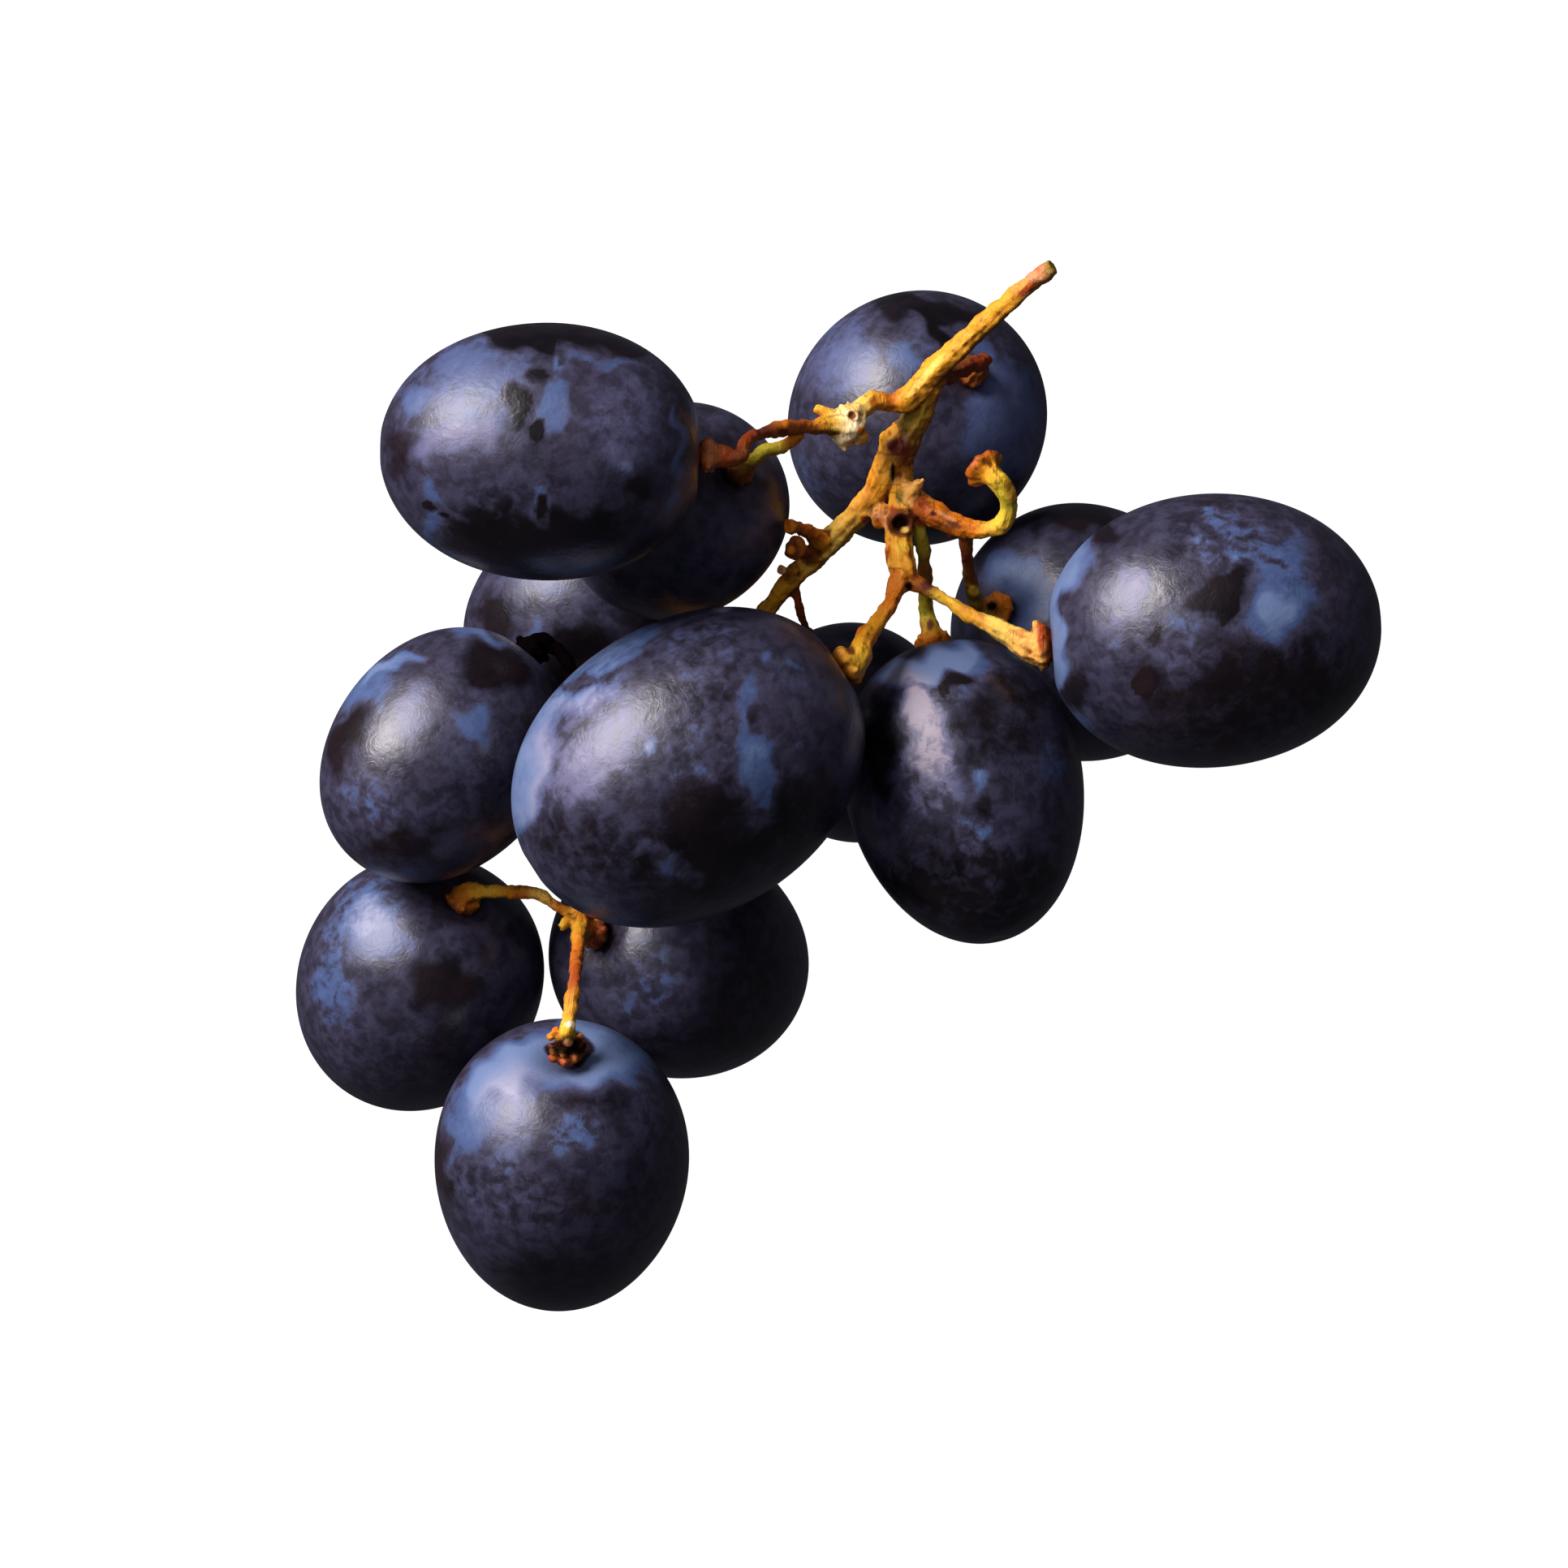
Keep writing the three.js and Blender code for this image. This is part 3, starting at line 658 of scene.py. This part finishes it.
stemShape = {
    "sides": 18,
    "step": 0.22,  # mm between rings
    "ridges": 7,
    "ridgeHeight": 0.09,  # share of the thickness
    "ridgeTwist": 0.25,  # radians for each mm
    "swelling": 0.04,
    "flattening": 0.03,
    "knobs": 0.16,  # mm high
    "knobSize": 0.9,  # mm across
    "pits": 0.06,
    "pitSize": 0.35,
    "voxel": 0.148,  # mm: at 0.13 the stem has more than 200,000 triangles
    "smoothing": 10,  # passes of the smoother shape that shows which places are creases
}

# Warts round each pad, and small lenticels along the branches, in mm.
warts = {
    "round": 9,  # round each pad
    "roundL": 16,  # round the pad of berry l, in two rows, and larger
    "rowL": 8,
    "largerOnL": 0.1,
    "scatter": 0.3,  # share of the step between two warts
    "reach": (1.15, 1.4),  # from the middle of the stalk
    "lift": (0.1, 0.6),  # past the end of the berry
    "liftSecondRow": (0.9, 1.7),
    "radius": (0.2, 0.36),
    "lenticelsPerRing": 0.32,
    "lenticelRadius": (0.12, 0.27),
    "lenticelDepth": 0.9,  # its middle lies at this share of the branch's half-thickness
}

# Hollows in the wood: where a berry or a twig has come off.
dimples = [
    dict(at=(15.45, 24.9, 29.5), toward=(-0.6, 0.6, -0.4), radius=1.1, depth=0.6),
    dict(at=(9.2, 20.45, 29.0), toward=(0.05, -0.1, 1.0), radius=0.75, depth=0.5, plug=0.4),
    dict(at=(5.3, 28.7, 32.6), toward=(0.0, 0.2, 1.0), radius=0.4, depth=0.5),
    dict(at=(6.1, 27.4, 32.0), toward=(0.3, -0.2, 1.0), radius=0.4, depth=0.4),
]


# A smooth curve through the points, closer together: place, half-thickness, and colour.
def smoothBranch(points, tints):
    stations = np.array(points, float)
    count = len(stations)
    ghost = np.vstack([2 * stations[0] - stations[1], stations, 2 * stations[-1] - stations[-2]])
    rows, tintRows = [], []
    for i in range(count - 1):
        p = ghost[i:i + 4]
        gaps = [max(np.linalg.norm(p[k + 1, :3] - p[k, :3]) ** 0.5, 1e-4) for k in range(3)]
        t = np.concatenate([[0], np.cumsum(gaps)])
        steps = max(2, int(np.linalg.norm(p[2, :3] - p[1, :3]) / stemShape["step"]))
        for k in range(steps if i < count - 2 else steps + 1):
            u = t[1] + (t[2] - t[1]) * k / steps
            a = [(p[j] * (t[j + 1] - u) + p[j + 1] * (u - t[j])) / (t[j + 1] - t[j]) for j in range(3)]
            b = [(a[j] * (t[j + 2] - u) + a[j + 1] * (u - t[j])) / (t[j + 2] - t[j]) for j in range(2)]
            row = (b[0] * (t[2] - u) + b[1] * (u - t[1])) / (t[2] - t[1])
            share = k / steps
            eased = share * share * (3 - 2 * share)
            row[3] = stations[i, 3] + (stations[i + 1, 3] - stations[i, 3]) * eased
            rows.append(row)
            tintRows.append(tints[i] + (tints[i + 1] - tints[i]) * share)
    return np.array(rows), np.array(tintRows)


# One branch as a ridged tube, closed at both ends.
def branchTube(rows, number):
    sides = stemShape["sides"]
    along = np.gradient(rows[:, :3], axis=0)
    along /= np.linalg.norm(along, axis=1)[:, None]
    side = np.cross([0.0, 0.0, 1.0], along[0])
    if np.linalg.norm(side) < 0.3:
        side = np.array([1.0, 0.0, 0.0])
    vertices = []
    angles = np.linspace(0, 2 * np.pi, sides, endpoint=False)
    travelled = 0.0
    for i, row in enumerate(rows):
        side = side - along[i] * (side @ along[i])
        side = side / np.linalg.norm(side)
        other = np.cross(along[i], side)
        if i:
            travelled += np.linalg.norm(row[:3] - rows[i - 1, :3])
        twist = stemShape["ridgeTwist"] * travelled
        ridge = 1 + stemShape["ridgeHeight"] * np.cos(stemShape["ridges"] * angles + twist + number)
        ridge = ridge + stemShape["swelling"] * np.sin(2.1 * travelled + 3 * number)
        ridge = ridge + stemShape["flattening"] * np.cos(angles * 2 + travelled)
        for angle, swell in zip(angles, ridge):
            out = side * math.cos(angle) + other * math.sin(angle)
            vertices.append(row[:3] + out * row[3] * swell)
    faces = []
    for i in range(len(rows) - 1):
        for j in range(sides):
            k = (j + 1) % sides
            faces.append((i * sides + j, i * sides + k, (i + 1) * sides + k, (i + 1) * sides + j))
    last = (len(rows) - 1) * sides
    faces.append(tuple(reversed(range(sides))))
    faces.append(tuple(last + j for j in range(sides)))
    return vertices, faces


# The branch's own points and colours, followed by those of its pad.
def withPad(branch):
    points = list(branch["points"])
    words = branch["tint"].split()
    if "to" in branch:
        berry = berries[branch["to"]]
        axis = np.array(stalkAxis(berry))
        for out, thick in pad[1:] if branch.get("short") else pad:
            end = np.array(berry["middle"]) + axis * (berry["length"] / 2 + out)
            points.append(tuple(end) + (thick * branch.get("flare", 1.0),))
        words = words + branch["seat"].split()
    return points, np.array([linearColour(stemWood[word])[:3] for word in words])


# Middle and radius of each wart and lenticel.
def wartPlaces(guides):
    random = np.random.default_rng(11)
    places = []
    for branch in branches:
        if "to" not in branch:
            continue
        berry = berries[branch["to"]]
        axis = stalkAxis(berry)
        side = axis.orthogonal().normalized()
        other = axis.cross(side)
        onL = branch["to"] == "l"
        scatter = warts["scatter"]
        for k in range(warts["roundL"] if onL else warts["round"]):
            inRow = warts["rowL"] if onL else warts["round"]
            angle = 2 * math.pi * (k + random.uniform(-scatter, scatter)) / inRow
            out = side * math.cos(angle) + other * math.sin(angle)
            reach = random.uniform(*warts["reach"]) * branch.get("flare", 1.0)
            lift = random.uniform(*warts["lift" if k < warts["round"] else "liftSecondRow"])
            middle = Vector(berry["middle"]) + axis * (berry["length"] / 2 + lift) + out * reach
            places.append((middle, random.uniform(*warts["radius"]) + (warts["largerOnL"] if onL else 0)))
    for rows in guides:
        for k in range(int(len(rows) * warts["lenticelsPerRing"])):
            row = rows[random.integers(len(rows))]
            out = Vector(random.normal(size=3)).normalized()
            middle = Vector(row[:3]) + out * row[3] * warts["lenticelDepth"]
            places.append((middle, random.uniform(*warts["lenticelRadius"])))
    return places


def makeStem():
    vertices, faces, guides, tintGuides = [], [], [], []
    for number, branch in enumerate(branches):
        rows, tintRows = smoothBranch(*withPad(branch))
        made, sides = branchTube(rows, number)
        faces += [tuple(len(vertices) + k for k in face) for face in sides]
        vertices += made
        guides.append(rows)
        tintGuides.append(tintRows)
    mesh = bpy.data.meshes.new("stem_wood")
    shift = np.array(layout["shift"])
    mesh.from_pydata([tuple((np.array(v) + shift) * mm) for v in vertices], [], faces)
    stem = bpy.data.objects.new("grape_stem", mesh)
    bpy.context.scene.collection.objects.link(stem)
    deselectAll()
    bpy.ops.mesh.primitive_ico_sphere_add(subdivisions=1, radius=1)
    wart = bpy.context.object
    pieces = [stem]
    for middle, size in wartPlaces(guides):
        copy = wart.copy()
        copy.data = wart.data.copy()
        for vertex in copy.data.vertices:
            vertex.co = (vertex.co * size + middle + Vector(layout["shift"])) * mm
        bpy.context.scene.collection.objects.link(copy)
        pieces.append(copy)
    bpy.data.objects.remove(wart)
    deselectAll()
    for piece in pieces:
        piece.select_set(True)
    bpy.context.view_layer.objects.active = stem
    bpy.ops.object.join()
    remesh = stem.modifiers.new("one skin", "REMESH")
    remesh.mode = "VOXEL"
    remesh.voxel_size = stemShape["voxel"] * mm
    remesh.use_smooth_shade = True
    smooth = stem.modifiers.new("soften", "SMOOTH")
    smooth.factor = 0.5
    smooth.iterations = 2
    for name in ("one skin", "soften"):
        bpy.ops.object.modifier_apply(modifier=name)
    place = shapeWood(stem)
    paintStem(stem, place, guides, tintGuides)
    return stem


# Presses the hollows into the wood, makes it knobbly, and gives the place of each vertex in the layout.
def shapeWood(stem):
    place = np.zeros(len(stem.data.vertices) * 3)
    stem.data.vertices.foreach_get("co", place)
    place = place.reshape(-1, 3) / mm - np.array(layout["shift"])
    for dimple in dimples:
        toward = np.array(dimple["toward"])
        toward = toward / np.linalg.norm(toward)
        offset = place - np.array(dimple["at"])
        along = offset @ toward
        across = np.linalg.norm(offset - np.outer(along, toward), axis=1) / dimple["radius"]
        bowl = np.clip(1 - across ** 2, 0, 1) - dimple.get("plug", 0) * np.exp(-((across / 0.4) ** 2))
        near = np.abs(along) < 0.6 * dimple["radius"]
        place = place - np.outer(np.where(near, dimple["depth"] * np.clip(bowl, 0, 1), 0), toward)
    facing = np.zeros(len(place) * 3)
    stem.data.vertices.foreach_get("normal", facing)
    heights = []
    for point in map(Vector, place):
        knob = stemShape["knobs"] * noise.noise(point / stemShape["knobSize"])
        heights.append(knob + stemShape["pits"] * noise.noise(point / stemShape["pitSize"]))
    place = place + facing.reshape(-1, 3) * np.array(heights)[:, None]
    stem.data.vertices.foreach_set("co", ((place + np.array(layout["shift"])) * mm).ravel())
    stem.data.update()
    return place


# How deep each vertex lies in a crease, in mm: less than nothing on a ridge.
def creaseDepth(stem, place, facing):
    ends = np.zeros(len(stem.data.edges) * 2, np.int32)
    stem.data.edges.foreach_get("vertices", ends)
    first, second = ends[0::2], ends[1::2]
    count = len(place)
    neighbours = np.bincount(first, minlength=count) + np.bincount(second, minlength=count)
    smooth = place
    for step in range(stemShape["smoothing"]):
        sums = [np.bincount(first, smooth[second, k], count) + np.bincount(second, smooth[first, k], count)
                for k in range(3)]
        smooth = np.column_stack(sums) / neighbours[:, None]
    return np.sum((smooth - place) * facing, axis=1)


# Colours of the wood, from the yellow of the fresh knot to the nearly black parts in the shade.
stemWood = {
    "gold": "#e29a22",
    "yellow": "#edb932",
    "pale": "#f2c658",
    "cream": "#f6e6ba",
    "peach": "#eeaa52",
    "pink": "#d08a58",
    "orange": "#cf7012",
    "green": "#c0ae2c",
    "olive": "#85701a",
    "red": "#9a3a10",
    "maroon": "#571a0e",
    "brown": "#6a3512",
    "dark": "#190b05",
    "shaded": "#060304",
}

# The wood's patterns, in repeats for each mm: fibres along the branch, stains 2 mm and specks 0.7 mm across.
woodGrain = {
    "fibres": 1.6,
    "fibreStretch": (0.35, 2.2, 1.0),  # along, round and between branches
    "blotches": 0.45,
    "spots": 1.4,
    "roughness": 0.48,
}

# Painted shade on the wood: browner on the side that faces right and down the picture, away from the light,
# and darker in its creases.
woodShades = {
    "shadeFacing": (0.75, -0.75),  # the way the side with painted shade faces: right and down the picture
    "shadeEdge": (0.35, 0.95),
    "shadeShare": 0.6,
    "creaseDepth": (0.01, 0.09),  # mm
    "creaseShadeShare": 0.85,
    "upward": (-0.1, 0.2),  # marks are painted where the wood faces up this much
}

# Colour marks on the wood as seen from above: colour, place, half-sizes and turn, as for a spot. Some of
# them are painted shade.
stemMarks = [
    ("pale", 1140, 463, 36, 5, 50),
    # painted shade along the lower right edge of the cut stalk
    ("brown", 1217, 417, 98, 6, 42),
    ("red", 1266, 356, 18, 5, 42),
    ("pink", 1275, 336, 14, 9, 40),
    ("olive", 1298, 326, 9, 9, 0),
    ("orange", 1096, 491, 8, 6, 0),
    ("orange", 1077, 495, 7, 6, 0),
    ("brown", 1050, 512, 6, 6, 0),
    ("orange", 1062, 531, 6, 6, 0),
    ("yellow", 1008, 501, 9, 4, 10),
    ("brown", 1008, 534, 34, 4, 0),
    ("maroon", 966, 533, 8, 6, 0),
    ("red", 890, 543, 12, 7, 0),
    # painted shade on the stalk that runs down from the fork
    ("maroon", 1105, 550, 17, 12, 0),
    ("gold", 1092, 537, 7, 5, 0),
    ("orange", 1080, 645, 10, 8, 0),
    ("red", 1065, 640, 6, 5, 0),
    ("red", 1085, 660, 7, 5, 0),
    # painted shade on the same stalk
    ("dark", 1100, 582, 4, 16, 0),
    ("olive", 1108, 612, 6, 9, 0),
    ("peach", 1120, 617, 5, 10, 20),
    ("peach", 1133, 595, 7, 7, 0),
    ("red", 1138, 622, 8, 6, 0),
    ("red", 1100, 628, 6, 5, 0),
    ("red", 1135, 645, 8, 6, 0),
    ("maroon", 1109, 644, 15, 13, 25),
    ("dark", 1109, 644, 12, 10, 25),
    ("pale", 1115, 653, 5, 4, 0),
    ("red", 1090, 690, 4, 20, -20),
    ("brown", 1175, 647, 12, 5, -20),
    ("maroon", 1150, 633, 5, 4, 0),
    ("orange", 1196, 652, 8, 6, 0),
    ("yellow", 1200, 728, 8, 7, 0),
    ("orange", 1223, 742, 13, 13, 0),
    ("dark", 1222, 747, 8, 7, 0),
    ("brown", 1146, 770, 5, 8, 0),
    ("orange", 1060, 775, 10, 4, 50),
    ("brown", 1047, 800, 6, 10, 40),
    ("yellow", 1112, 674, 9, 8, 0),
    ("dark", 1120, 722, 6, 6, 0),
    ("maroon", 1142, 721, 8, 7, 0),
    ("pale", 1225, 763, 18, 5, -27),
    ("red", 1283, 780, 6, 26, 0),
    ("pink", 1165, 636, 14, 3, -25),
    ("brown", 1158, 645, 16, 3, -25),
    ("orange", 967, 652, 7, 7, 0),
    ("brown", 975, 678, 12, 12, 0),
    ("orange", 975, 678, 6, 6, 0),
    ("shaded", 668, 815, 60, 50, 0),
    ("dark", 702, 1290, 34, 14, 0),
    ("cream", 703, 1262, 8, 4, 0),
    ("peach", 721, 1272, 6, 7, 0),
    ("orange", 685, 1268, 6, 4, 0),
    ("pink", 700, 1284, 6, 5, 0),
]


# Paints the wood's colour, with painted shade on its lower right side and in its creases, and the place
# along and around the branch in mm for the fibres.
def paintStem(stem, place, guides, tintGuides):
    tree = kdtree.KDTree(sum(len(g) for g in guides))
    where = []
    for n, rows in enumerate(guides):
        travelled = 0.0
        for k, row in enumerate(rows):
            if k:
                travelled += float(np.linalg.norm(row[:3] - rows[k - 1, :3]))
            tree.insert(Vector(row[:3]), len(where))
            where.append((n, k, travelled))
    tree.balance()
    colour = np.ones((len(place), 4))
    fibre = np.zeros((len(place), 3), np.float32)
    for i, point in enumerate(place):
        found = tree.find_n(Vector(point), 4)
        pulls = [1 / (distance + 0.01) for middle, index, distance in found]
        near = [tintGuides[where[index][0]][where[index][1]] for middle, index, distance in found]
        total = sum(pull * tone for pull, tone in zip(pulls, near))
        colour[i, :3] = total / sum(pulls)
        n, k, travelled = where[found[0][1]]
        out = Vector(point) - found[0][0]
        fibre[i] = (travelled, math.atan2(out.z, out.x), n * 3.7)
    facing = np.zeros(len(place) * 3)
    stem.data.vertices.foreach_get("normal", facing)
    facing = facing.reshape(-1, 3)

    def tint(share, word):
        colour[:, :3] += share[:, None] * (np.array(linearColour(stemWood[word])[:3]) - colour[:, :3])

    seen = smoothStep(*woodShades["upward"], facing[:, 2])
    px, py = pictureOf(place)
    right, up = woodShades["shadeFacing"]
    sideShade = smoothStep(*woodShades["shadeEdge"], right * facing[:, 0] + up * facing[:, 1])
    # painted shade: browner on the side turned away from the light
    tint(woodShades["shadeShare"] * sideShade, "brown")
    # painted shade in the creases
    creaseShade = smoothStep(*woodShades["creaseDepth"], creaseDepth(stem, place, facing))
    tint(woodShades["creaseShadeShare"] * creaseShade, "maroon")
    for word, x, y, halfWidth, halfHeight, turn in stemMarks:
        mark = spot(x, y, halfWidth, halfHeight, turn=turn)
        tint(seen * markShare(mark, px, py, "wood"), word)
    addLayer(stem, "woodColour", "FLOAT_COLOR", colour)
    addLayer(stem, "fibrePlace", "FLOAT_VECTOR", fibre)


# Half-dried grape stem: fibrous golden wood with green and red-brown parts. It is dull, and a little light
# passes into it.
def stemMaterial():
    wood = Recipe("half_dried_grape_stem")
    place = node(wood.tree, "ShaderNodeTexCoord").outputs["Object"]
    along = {"Vector": wood.paint("fibrePlace", "Vector"), "Scale": woodGrain["fibreStretch"]}
    stretched = node(wood.tree, "ShaderNodeMapping", along).outputs["Vector"]
    fibres = wood.noise(stretched, woodGrain["fibres"], 4.0, 0.65)
    blotches = wood.noise(place, woodGrain["blotches"] / mm, 3.0)
    spots = wood.noise(place, woodGrain["spots"] / mm, 2.0)
    colour = wood.paint("woodColour", "Color")
    brightness = node(wood.tree, "ShaderNodeRGBToBW", {"Color": colour}).outputs["Val"]
    lively = wood.ramp(brightness, 0.0, 0.12)  # so that the dark parts stay dark
    for pattern, low, high, most, word in (
        (fibres, 0.55, 0.75, 0.35, "pale"),
        (fibres, 0.45, 0.3, 0.55, "orange"),
        (blotches, 0.54, 0.7, 0.5, "red"),
        (spots, 0.6, 0.72, 0.5, "dark"),
    ):
        share = wood.maths("MULTIPLY", wood.ramp(pattern, low, high, (0.0, most)), lively)
        colour = wood.mix(share, colour, linearColour(stemWood[word]))
    height = wood.maths("ADD", wood.maths("MULTIPLY", fibres, 0.7), wood.maths("MULTIPLY", spots, 0.3))
    bump = node(wood.tree, "ShaderNodeBump", {"Strength": 0.8, "Distance": 0.0003, "Height": height})
    return wood.finish({
        "Base Color": colour, "Roughness": woodGrain["roughness"],
        "Specular IOR Level": wood.ramp(brightness, 0.0, 0.03, (0.0, 0.25)),
        "Normal": bump.outputs["Normal"],
        "Subsurface Weight": 0.12, "Subsurface Radius": (1.0, 0.4, 0.1), "Subsurface Scale": 0.0006,
    })


# Places in metres, with a large soft key light at the upper left of the picture.
studio = {
    "floorSize": 30.0,
    "floorColour": "#606060",
    "floorGlow": 1.0,
    "keyPlace": (-0.6, 0.48, 0.51),
    "keySize": 0.56,
    "keyPower": 18.5,
    "keyColour": (1.0, 0.94, 0.95),
    "fillPlace": (-0.1, 0.1, 0.95),
    "fillSize": 0.7,
    "fillPower": 2.2,
    "fillColour": (0.88, 0.9, 1.0),
    "worldLight": 0.055,
    "worldColour": (0.8, 0.76, 0.9, 1.0),
}


# Opal acrylic, lit from below as on a photographer's light table, so that shadows on it stay faint.
def floorMaterial():
    return Recipe("lit_opal_acrylic").finish({
        "Base Color": linearColour(studio["floorColour"]), "Roughness": 0.9, "Specular IOR Level": 0.1,
        "Emission Color": (1, 1, 1, 1), "Emission Strength": studio["floorGlow"]})


def softLight(name, place, size, power, colour):
    deselectAll()
    bpy.ops.object.light_add(type="AREA", location=place)
    lamp = bpy.context.object
    lamp.name = name
    lamp.data.shape = "DISK"
    lamp.data.size = size
    lamp.data.energy = power
    lamp.data.color = colour
    aim = Vector((0, 0, 0.02)) - Vector(place)
    lamp.rotation_mode = "QUATERNION"
    lamp.rotation_quaternion = aim.to_track_quat("-Z", "Y")
    return lamp


def makeStudio():
    deselectAll()
    bpy.ops.mesh.primitive_plane_add(size=studio["floorSize"], location=(0, 0, 0))
    floor = bpy.context.object
    floor.name = "floor"
    floor.data.materials.append(floorMaterial())
    floor.visible_glossy = False  # so that the dark skin doesn't mirror the table along its lower edges
    floor.visible_diffuse = False
    softLight("key_softbox", studio["keyPlace"], studio["keySize"], studio["keyPower"], studio["keyColour"])
    fill = softLight("fill_softbox", studio["fillPlace"], studio["fillSize"], studio["fillPower"],
                     studio["fillColour"])
    fill.visible_glossy = False  # it lifts the shadows and leaves bare skin black
    world = bpy.data.worlds.new("studio")
    bpy.context.scene.world = world
    world.use_nodes = True
    background = world.node_tree.nodes["Background"]
    background.inputs["Color"].default_value = studio["worldColour"]
    background.inputs["Strength"].default_value = studio["worldLight"]
    bpy.context.scene.view_settings.view_transform = "Standard"


def makeCamera():
    deselectAll()
    height = layout["cameraHeight"]
    bpy.ops.object.camera_add(location=(layout["shift"][0] * mm, layout["shift"][1] * mm, height * mm))
    camera = bpy.context.object
    camera.rotation_euler = (0, 0, 0)  # straight down
    camera.data.sensor_width = 36.0
    across = layout["pictureSize"] / layout["pixelsPerMm"]
    camera.data.lens = camera.data.sensor_width * (height - layout["scaleHeight"]) / across
    camera.data.clip_start = 0.05
    camera.data.clip_end = 10.0
    bpy.context.scene.camera = camera


makeCamera()
makeStudio()
print("camera and studio ready")

skin = grapeSkinMaterial()
ball = masterBerry()
for letter in berries:
    piece = makeBerry(letter, ball)
    piece.data.materials.append(skin)
    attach(piece, "root")
    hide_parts("berry_" + letter)
bpy.data.objects.remove(ball)
print("berries made")

stem = makeStem()
stem.data.materials.append(stemMaterial())
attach(stem, "root")
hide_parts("stem")
print("stem made,", len(stem.data.polygons), "faces")
